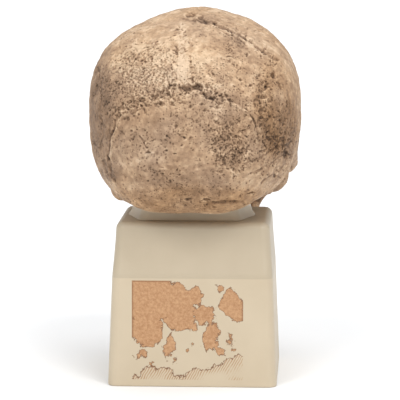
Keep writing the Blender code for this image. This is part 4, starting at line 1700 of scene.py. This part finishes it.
@dataclass(frozen=True)
class FossilFinish:
    """Painted cast bone: the skin's own tones, mottled finer, with pores where the skin asks for them.

    Sizes are in metres. pores are the widths of the cells that may each hold one pore, pore_wall is where
    a pore's wall begins and ends as shares of its cell, and pore_share is the most cells that hold one.
    """

    name: str = "fossil_bone_cast"
    mottle: float = 0.0024
    mottle_height: float = 0.0009
    mottle_strength: float = 0.8
    mottle_edge: Pair = (0.36, 0.64)
    mottle_light: Colour = (1.11, 1.10, 1.09, 1.0)
    mottle_dark: Colour = (0.87, 0.85, 0.83, 1.0)
    pores: tuple[float, ...] = (0.0011, 0.0020)
    pore_wall: Pair = (0.16, 0.38)
    pore_share: float = 0.8
    pore_fade: float = 0.08
    pore_depth: float = 0.0005
    pore_strength: float = 0.9
    pore_dark: Colour = (0.50, 0.44, 0.38, 1.0)
    warp: float = 0.0012
    warp_share: float = 0.7
    gloss_patch: float = 0.006
    roughness: Pair = (0.50, 0.76)
    specular: float = 0.40
    fine: Bumps = Bumps(0.0009, 0.00034, 0.9, rough=0.6)

    def make(self) -> bpy.types.Material:
        """Builds the material.

        Returns:
            The material, which reads the skin's tint and pores.
        """
        sheet = NodeSheet(self.name)
        tint = sheet.node("ShaderNodeAttribute", attribute_name="tint").outputs["Color"]
        mottle = sheet.noise(self.mottle, 5.0, 0.68)
        cloud = sheet.mix(sheet.band(mottle, *self.mottle_edge), self.mottle_dark, self.mottle_light)
        base = sheet.mix(1.0, tint, cloud, "MULTIPLY")
        hole = self.holes(sheet)
        base = sheet.mix(hole, base, sheet.mix(1.0, base, self.pore_dark, "MULTIPLY"))
        wide = sheet.bump(mottle, self.mottle_height, self.mottle_strength, sheet.bumps(self.fine))
        pitted = sheet.bump(sheet.less(1.0, hole), self.pore_depth, self.pore_strength, wide)
        inputs = sheet.shader.inputs
        sheet.feed(inputs["Base Color"], base)
        sheet.feed(inputs["Roughness"], sheet.span(sheet.noise(self.gloss_patch), *self.roughness))
        sheet.feed(inputs["Normal"], pitted)
        sheet.feed(inputs["Specular IOR Level"], self.specular)
        return sheet.material

    def holes(self, sheet: NodeSheet) -> Socket:
        """Scatters the fine pores.

        Args:
            sheet: the material's nodes.

        Returns:
            1 in a pore and 0 between them.
        """
        density = sheet.node("ShaderNodeAttribute", attribute_name="pores").outputs["Fac"]
        sway = sheet.node("ShaderNodeTexNoise")
        sheet.feed(sway.inputs["Vector"], sheet.place())
        sway.inputs["Scale"].default_value = 1.0 / self.warp
        shift = sheet.node("ShaderNodeVectorMath", operation="SCALE")
        sheet.feed(shift.inputs[0], sway.outputs["Color"])
        shift.inputs["Scale"].default_value = self.warp * self.warp_share
        moved = sheet.node("ShaderNodeVectorMath", operation="ADD")
        sheet.feed(moved.inputs[0], sheet.place())
        sheet.feed(moved.inputs[1], shift.outputs[0])
        whole: object = 0.0
        for size in self.pores:
            cells = sheet.node("ShaderNodeTexVoronoi", feature="F1")
            sheet.feed(cells.inputs["Vector"], moved.outputs[0])
            cells.inputs["Scale"].default_value = 1.0 / size
            chance = sheet.node("ShaderNodeSeparateColor")
            sheet.feed(chance.inputs[0], cells.outputs["Color"])
            spare = sheet.less(sheet.times(density, self.pore_share), chance.outputs[0])
            kept = sheet.band(spare, 0.0, self.pore_fade)
            near = sheet.less(1.0, sheet.band(cells.outputs["Distance"], *self.pore_wall))
            whole = sheet.math("MAXIMUM", whole, sheet.times(near, kept))
        return whole


@dataclass(frozen=True)
class EnamelFinish:
    """Painted tooth: stained ivory, glossier than the bone, browner in its lower tones.

    blotch and streak are the widths of its stains, in metres.
    """

    name: str = "fossil_tooth_enamel"
    ivory: Colour = (0.50, 0.385, 0.255, 1.0)
    stain: Colour = (0.235, 0.145, 0.078, 1.0)
    blotch: float = 0.005
    blotch_edge: Pair = (0.36, 0.66)
    streak: float = 0.0014
    streak_edge: Pair = (0.35, 0.75)
    streak_share: float = 0.4
    roughness: float = 0.38
    fine: Bumps = Bumps(0.0009, 0.00012, 0.7)

    def make(self) -> bpy.types.Material:
        """Builds the material.

        Returns:
            The material.
        """
        sheet = NodeSheet(self.name)
        blotch = sheet.band(sheet.noise(self.blotch, 5.0, 0.65), *self.blotch_edge)
        streak = sheet.band(sheet.noise(self.streak, 4.0, 0.7), *self.streak_edge)
        worn = sheet.mix(sheet.times(streak, self.streak_share), self.ivory, self.stain)
        sheet.feed(sheet.shader.inputs["Base Color"], sheet.mix(blotch, worn, self.stain))
        sheet.feed(sheet.shader.inputs["Roughness"], self.roughness)
        sheet.feed(sheet.shader.inputs["Normal"], sheet.bumps(self.fine))
        return sheet.material


@dataclass(frozen=True)
class PlasticFinish:
    """Satin cream moulding, with a faint grain, dust and handling marks.

    cloud and gloss_patch are the widths of its uneven tone and gloss, in metres.
    """

    name: str = "plinth_cream_plastic"
    colour: Colour = (0.585, 0.484, 0.346, 1.0)
    worn: Colour = (0.552, 0.452, 0.318, 1.0)
    cloud: float = 0.03
    cloud_edge: Pair = (0.3, 0.75)
    gloss_patch: float = 0.02
    roughness: Pair = (0.34, 0.52)
    specular: float = 0.45
    grain: Bumps = Bumps(0.0011, 0.00005, 0.5, 2.0)
    wave: Bumps = Bumps(0.018, 0.0003, 0.25, 2.0)

    def dress(self, sheet: NodeSheet, base: Socket) -> None:
        """Sets the shader's gloss and grain under a colour.

        Args:
            sheet: the material's nodes.
            base: the colour.
        """
        inputs = sheet.shader.inputs
        sheet.feed(inputs["Base Color"], base)
        sheet.feed(inputs["Roughness"], sheet.span(sheet.noise(self.gloss_patch, 4.0), *self.roughness))
        sheet.feed(inputs["Normal"], sheet.bumps(self.wave, sheet.bumps(self.grain)))
        sheet.feed(inputs["Specular IOR Level"], self.specular)

    def ground(self, sheet: NodeSheet) -> Socket:
        """Returns the moulding's own slightly uneven colour."""
        uneven = sheet.band(sheet.noise(self.cloud, 4.0), *self.cloud_edge)
        return sheet.mix(uneven, self.colour, self.worn)

    def make(self) -> bpy.types.Material:
        """Builds the material."""
        sheet = NodeSheet(self.name)
        self.dress(sheet, self.ground(sheet))
        return sheet.material


@dataclass(frozen=True)
class Island:
    """One rounded patch of the panel's invented chart: middle and half sizes, in millimetres."""

    across: float
    up: float
    half_width: float
    half_height: float


@dataclass(frozen=True)
class ChartFinish:
    """The moulding with the printed chart of an invented island sea on its back panel.

    Places and lengths are in millimetres across the panel and above its foot, but bays, capes, ink and
    hatch_wave are noise widths in metres. bay_reach and cape_reach are how far that noise moves a shore.
    far_fade is where the hatched far shore fades out inland. The shares are how dense each print is, and
    hatch_pitch is the strokes' turn in radians for each millimetre.
    """

    name: str = "plinth_printed_plastic"
    plastic: PlasticFinish = PlasticFinish()
    left: float = -37.5
    right: float = 32.0
    low: float = 4.5
    high: float = 66.8
    frame: float = 0.9
    panel_depth: float = 40.0
    cap_foot: float = 68.0
    # cap_painted_shade darkens the moulding above cap_foot: painted shade of the skull's shadow on the
    # plinth's upper part.
    cap_painted_shade: Colour = (0.88, 0.89, 0.90, 1.0)
    land: Colour = (0.380, 0.175, 0.070, 1.0)
    land_light: Colour = (0.575, 0.330, 0.165, 1.0)
    coast: Colour = (0.150, 0.055, 0.018, 1.0)
    bays: float = 0.015
    bay_reach: float = 21.0
    capes: float = 0.005
    cape_reach: float = 8.5
    ink: float = 0.0017
    ink_edge: Pair = (0.30, 0.72)
    land_share: float = 0.94
    frame_share: float = 0.45
    near_line: float = 0.34
    near_share: float = 0.8
    far_line: float = 0.42
    far_share: float = 0.9
    far_fade: Pair = (-9.0, -1.0)
    hatch_share: float = 0.75
    hatch_slant: float = 0.55
    hatch_pitch: float = 3.9
    hatch_wave: float = 0.006
    hatch_sway: float = 2.0
    hatch_edge: Pair = (0.0, 0.7)
    cap_edge: float = 0.1
    shore_edge: float = 0.12
    window_edge: float = 0.3
    mainland: tuple[Island, ...] = (
        Island(-30.0, 58.0, 20.0, 16.0),
        Island(-14.0, 52.0, 20.0, 12.0),
        Island(-27.0, 38.0, 12.0, 12.0),
        Island(-8.0, 42.0, 14.0, 9.0),
        Island(7.0, 45.0, 8.0, 7.0),
        Island(-13.0, 28.0, 4.5, 10.0),
        Island(12.0, 35.0, 3.6, 9.0),
        Island(3.0, 60.0, 7.0, 5.0),
        Island(24.0, 54.0, 6.0, 8.0),
        Island(28.0, 44.0, 3.4, 4.0),
        Island(17.5, 62.0, 2.6, 2.2),
        Island(0.5, 27.5, 2.4, 1.6),
        Island(-2.5, 23.0, 1.5, 1.2),
        Island(23.5, 30.0, 2.2, 4.0),
        Island(19.0, 22.0, 1.6, 1.1),
        Island(-30.0, 20.0, 2.6, 1.6),
        Island(-24.0, 15.5, 1.4, 1.1),
    )
    far_shore: tuple[Island, ...] = (
        Island(14.0, 4.0, 20.0, 9.0),
        Island(30.0, 9.0, 12.0, 10.0),
        Island(-22.0, 3.0, 15.0, 8.5),
    )

    def make(self, middle_x: float) -> bpy.types.Material:
        """Builds the material.

        Args:
            middle_x: the plinth's own middle, in metres.

        Returns:
            The material, with the chart on the faces that look back.
        """
        sheet = NodeSheet(self.name)
        split = sheet.node("ShaderNodeSeparateXYZ")
        sheet.feed(split.inputs[0], sheet.place())
        across = sheet.over(sheet.less(middle_x, split.outputs["X"]), MM)
        up = sheet.over(split.outputs["Z"], MM)
        inside = self.window(sheet, across, up, split.outputs["Y"])
        framed = self.window(sheet, across, up, split.outputs["Y"], self.frame)
        ragged = sheet.math("ADD", self.sway(sheet, self.bays, self.bay_reach),
                            self.sway(sheet, self.capes, self.cape_reach))
        near = sheet.math("ADD", self.shore(sheet, across, up, self.mainland), ragged)
        far = sheet.math("ADD", self.shore(sheet, across, up, self.far_shore), ragged)
        land = self.below(sheet, near, inside)
        fibre = sheet.band(sheet.noise(self.ink, 5.0, 0.75), *self.ink_edge)
        printed = sheet.mix(fibre, self.land, self.land_light)
        # Above cap_foot the moulding is multiplied by cap_painted_shade: painted shade on the plinth's upper
        # part.
        cap = sheet.band(up, self.cap_foot - self.cap_edge, self.cap_foot + self.cap_edge)
        ground = self.plastic.ground(sheet)
        ground = sheet.mix(cap, ground, sheet.mix(1.0, ground, self.cap_painted_shade, "MULTIPLY"))
        base = sheet.mix(sheet.times(land, self.land_share), ground, printed)
        fading = sheet.times(self.below(sheet, far, inside), sheet.band(far, *self.far_fade))
        strokes = sheet.times(self.hatching(sheet, across, up), fading)
        base = sheet.mix(sheet.times(strokes, self.hatch_share), base, self.land)
        for stroke, share in ((sheet.times(land, sheet.less(1.0, framed)), self.frame_share),
                              (self.line(sheet, far, self.far_line, inside), self.far_share),
                              (self.line(sheet, near, self.near_line, inside), self.near_share)):
            base = sheet.mix(sheet.times(stroke, share), base, self.coast)
        self.plastic.dress(sheet, base)
        return sheet.material

    @staticmethod
    def sway(sheet: NodeSheet, size: float, reach: float) -> Socket:
        """Returns noise of a size in metres that swings reach millimetres in all."""
        return sheet.times(sheet.less(sheet.noise(size, 6.0, 0.62), 0.5), reach)

    @staticmethod
    def shore(sheet: NodeSheet, across: Socket, up: Socket,
              islands: tuple[Island, ...]) -> Socket:
        """Measures the distance from the nearest patch's edge.

        Args:
            sheet: the material's nodes.
            across: the place across the panel, in millimetres.
            up: the place above its foot.
            islands: the patches.

        Returns:
            The distance in millimetres, negative inside a patch.
        """
        nearest: object = 99.0
        for island in islands:
            east = sheet.over(sheet.less(across, island.across), island.half_width)
            north = sheet.over(sheet.less(up, island.up), island.half_height)
            square = sheet.math("ADD", sheet.times(east, east), sheet.times(north, north))
            size = min(island.half_width, island.half_height)
            edge = sheet.times(sheet.less(sheet.math("SQRT", square), 1.0), size)
            nearest = sheet.math("MINIMUM", nearest, edge)
        return nearest

    def below(self, sheet: NodeSheet, distance: Socket,
              inside: Socket) -> Socket:
        """Returns 1 where a distance lies under nought, inside the window."""
        return sheet.times(sheet.less(1.0, sheet.band(distance, -self.shore_edge, self.shore_edge)), inside)

    @staticmethod
    def line(sheet: NodeSheet, distance: Socket, width: float,
             inside: Socket) -> Socket:
        """Returns 1 on a pen line of a width in millimetres where a distance is nought."""
        off = sheet.math("ABSOLUTE", distance)
        return sheet.times(sheet.less(1.0, sheet.band(off, width * 0.5, width * 1.3)), inside)

    def window(self, sheet: NodeSheet, across: Socket, up: Socket,
               depth: Socket, inset: float = 0.0) -> Socket:
        """Finds the printed field, on the back panel only.

        Args:
            sheet: the material's nodes.
            across: the place across the panel, in millimetres.
            up: the place above its foot.
            depth: the place towards the back, in metres.
            inset: how much the field is drawn in, in millimetres.

        Returns:
            1 inside the field and 0 elsewhere.
        """
        share = sheet.band(depth, self.panel_depth * MM, (self.panel_depth + 1.0) * MM)
        for value, low, high in ((across, self.left + inset, self.right - inset),
                                 (up, self.low + inset, self.high - inset)):
            share = sheet.times(share, sheet.band(value, low, low + self.window_edge))
            share = sheet.times(share, sheet.less(1.0, sheet.band(value, high - self.window_edge, high)))
        return share

    def hatching(self, sheet: NodeSheet, across: Socket,
                 up: Socket) -> Socket:
        """Draws slanted pen strokes.

        Args:
            sheet: the material's nodes.
            across: the place across the panel, in millimetres.
            up: the place above its foot.

        Returns:
            1 on a stroke.
        """
        slant = sheet.less(across, sheet.times(up, self.hatch_slant))
        swayed = sheet.math("ADD", slant, sheet.times(sheet.noise(self.hatch_wave, 2.0), self.hatch_sway))
        return sheet.band(sheet.math("SINE", sheet.times(swayed, self.hatch_pitch)), *self.hatch_edge)


# The plinth


@dataclass
class MouldedBlock:
    """A rounded block drawn to levels, finer than its solid.

    Each level is its height, half width and half depth, and end_share is the share of its width that is
    left at its two ends. Lengths are in millimetres. Edges sharper than crease_deg are shaded as creases.
    """

    node: str
    levels: tuple[Triple, ...]
    corner: float
    place: Pair
    base: float
    top_round: float
    foot_round: float
    end_share: float = 1.0
    segments: int = 6
    crease_deg: float = 32.0

    def build(self, material: bpy.types.Material) -> bpy.types.Object:
        """Builds the block over its solid.

        Args:
            material: its finish.

        Returns:
            The block's object.
        """
        height = self.levels[-1][0]
        bm = bmesh.new()
        bmesh.ops.create_cube(bm, size=2.0, matrix=Matrix.Translation((0, 0, 1)))
        bmesh.ops.scale(bm, vec=(1, 1, height / 2), verts=bm.verts)
        if self.end_share < 1.0:
            self.cut_across(bm)
        for level, _, _ in self.levels[1:-1]:
            everything = bm.verts[:] + bm.edges[:] + bm.faces[:]
            bmesh.ops.bisect_plane(bm, geom=everything, plane_co=(0, 0, level), plane_no=(0, 0, 1))
        heights, widths, depths = zip(*self.levels)
        for vert in bm.verts:
            level = vert.co.z
            narrowed = 1.0 - (1.0 - self.end_share) * abs(vert.co.y)
            vert.co.x = math.copysign(np.interp(level, heights, widths) * narrowed, vert.co.x)
            vert.co.y *= np.interp(level, heights, depths)
        upright = [edge for edge in bm.edges if abs(edge.verts[0].co.z - edge.verts[1].co.z) > 0.1]
        bmesh.ops.bevel(bm, geom=upright, affect="EDGES", offset=self.corner, segments=self.segments,
                        profile=0.5, material=-1, loop_slide=True)
        for level, width in ((height, self.top_round), (0.0, self.foot_round)):
            rim = [edge for edge in bm.edges if all(abs(vert.co.z - level) < 0.01 for vert in edge.verts)]
            bmesh.ops.bevel(bm, geom=rim, affect="EDGES", offset=width, segments=self.segments // 2 + 1,
                            profile=0.5, material=-1, loop_slide=True)
        bmesh.ops.recalc_face_normals(bm, faces=bm.faces)
        bmesh.ops.transform(bm, matrix=Matrix.Scale(MM, 4), verts=bm.verts)
        move = (self.place[0] * MM, self.place[1] * MM, self.base * MM)
        bmesh.ops.translate(bm, vec=move, verts=bm.verts)
        obj = object_from(bm, self.node + "_moulding")
        obj.data.materials.append(material)
        obj.data.shade_smooth()
        obj.data.set_sharp_from_angle(angle=math.radians(self.crease_deg))
        flat = obj.modifiers.new("flat", "WEIGHTED_NORMAL")
        flat.keep_sharp = True
        settle(obj)
        return hand_over(obj, self.node)

    @staticmethod
    def cut_across(bm: bmesh.types.BMesh) -> None:
        """Gives the cube's two sides an upright edge in their middles.

        Args:
            bm: the cube.
        """
        everything = bm.verts[:] + bm.edges[:] + bm.faces[:]
        bmesh.ops.bisect_plane(bm, geom=everything, plane_co=(0, 0, 0), plane_no=(0, 1, 0))
        level_cuts = [edge for edge in bm.edges if edge.verts[0].co.yz == edge.verts[1].co.yz
                      and abs(edge.verts[0].co.y) < 0.5]
        bmesh.ops.dissolve_edges(bm, edges=level_cuts)


# The studio


@dataclass(frozen=True)
class SoftSun:
    """One broad far light: the direction it comes from, its strength, and its width in degrees."""

    name: str
    place: Triple
    strength: float
    width: float

    def create(self) -> None:
        """Makes the light."""
        data = bpy.data.lights.new(self.name, "SUN")
        data.energy, data.angle = self.strength, math.radians(self.width)
        obj = bpy.data.objects.new(self.name, data)
        obj.location = Vector(self.place)
        obj.rotation_mode = "QUATERNION"
        obj.rotation_quaternion = (-Vector(self.place)).to_track_quat("-Z", "Y")
        bpy.context.scene.collection.objects.link(obj)


@dataclass
class Studio:
    """A white floor, a white surround and soft lights from above and behind the camera."""

    floor_radius: float = 14.0
    floor_colour: Colour = (0.90, 0.90, 0.90, 1.0)
    floor_roughness: float = 0.9
    world_strength: float = 0.50
    world_colour: Colour = (0.94, 0.97, 1.0, 1.0)
    lights: tuple[SoftSun, ...] = (
        SoftSun("right_light", (-0.50, 0.80, 1.0), 1.20, 26.0),
        SoftSun("left_light", (0.50, 0.85, 1.0), 1.0, 26.0),
        SoftSun("top_light", (-0.10, -0.10, 1.0), 1.2, 45.0),
    )

    def build(self) -> None:
        """Builds the floor, the surround and the lights."""
        bm = bmesh.new()
        bmesh.ops.create_circle(bm, cap_ends=True, segments=96, radius=self.floor_radius)
        floor = object_from(bm, "studio_floor")
        sheet = NodeSheet("studio_white")
        sheet.feed(sheet.shader.inputs["Base Color"], self.floor_colour)
        sheet.feed(sheet.shader.inputs["Roughness"], self.floor_roughness)
        floor.data.materials.append(sheet.material)
        world = bpy.data.worlds.new("studio")
        world.use_nodes = True
        background = world.node_tree.nodes["Background"]
        background.inputs["Color"].default_value = self.world_colour
        background.inputs["Strength"].default_value = self.world_strength
        bpy.context.scene.world = world
        bpy.context.scene.view_settings.view_transform = "Standard"
        for light in self.lights:
            light.create()


def main() -> None:
    """Builds the camera, the cranium, its plinth and the studio, in that order."""
    logging.basicConfig(level=logging.INFO, format="%(name)s: %(message)s")
    view = PhotoView()
    view.create()
    fossil = FossilFinish().make()
    cranium = Cranium(view)
    for bone in cranium.build():
        bone.data.materials.clear()
        bone.data.materials.append(fossil)
    Dentition(cranium.place, cranium.yaw_deg, cranium.tooth_line).build(EnamelFinish().make())
    plinth = MouldedBlock(
        "plinth",
        ((0.0, 52.8, 52.0), (68.0, 50.15, 50.15), (71.5, 49.9, 49.2), (79.0, 49.3, 46.4),
         (90.0, 48.5, 43.6), (102.0, 47.9, 42.0)),
        corner=6.0, place=(0.14, 14.38), base=0.0, top_round=4.2, foot_round=0.9)
    plinth.build(ChartFinish().make(plinth.place[0] * MM))
    post = MouldedBlock(
        "plinth_post",
        ((0.0, 41.6, 31.0), (3.0, 39.4, 29.2), (7.0, 38.2, 28.2), (20.0, 38.0, 28.0)),
        corner=5.0, place=(2.7, 16.38), base=101.9, top_round=2.2, foot_round=0.8, end_share=0.76)
    # The post is the plinth's own plastic, painted lighter than the plinth against the skull's shadow over
    # it: painted light.
    post_plastic_painted_lighter = PlasticFinish("post_cream_plastic_painted_lighter", (0.665, 0.560, 0.410, 1.0), (0.630, 0.525, 0.378, 1.0))
    post.build(post_plastic_painted_lighter.make())
    Studio().build()


if __name__ == "__main__":
    main()
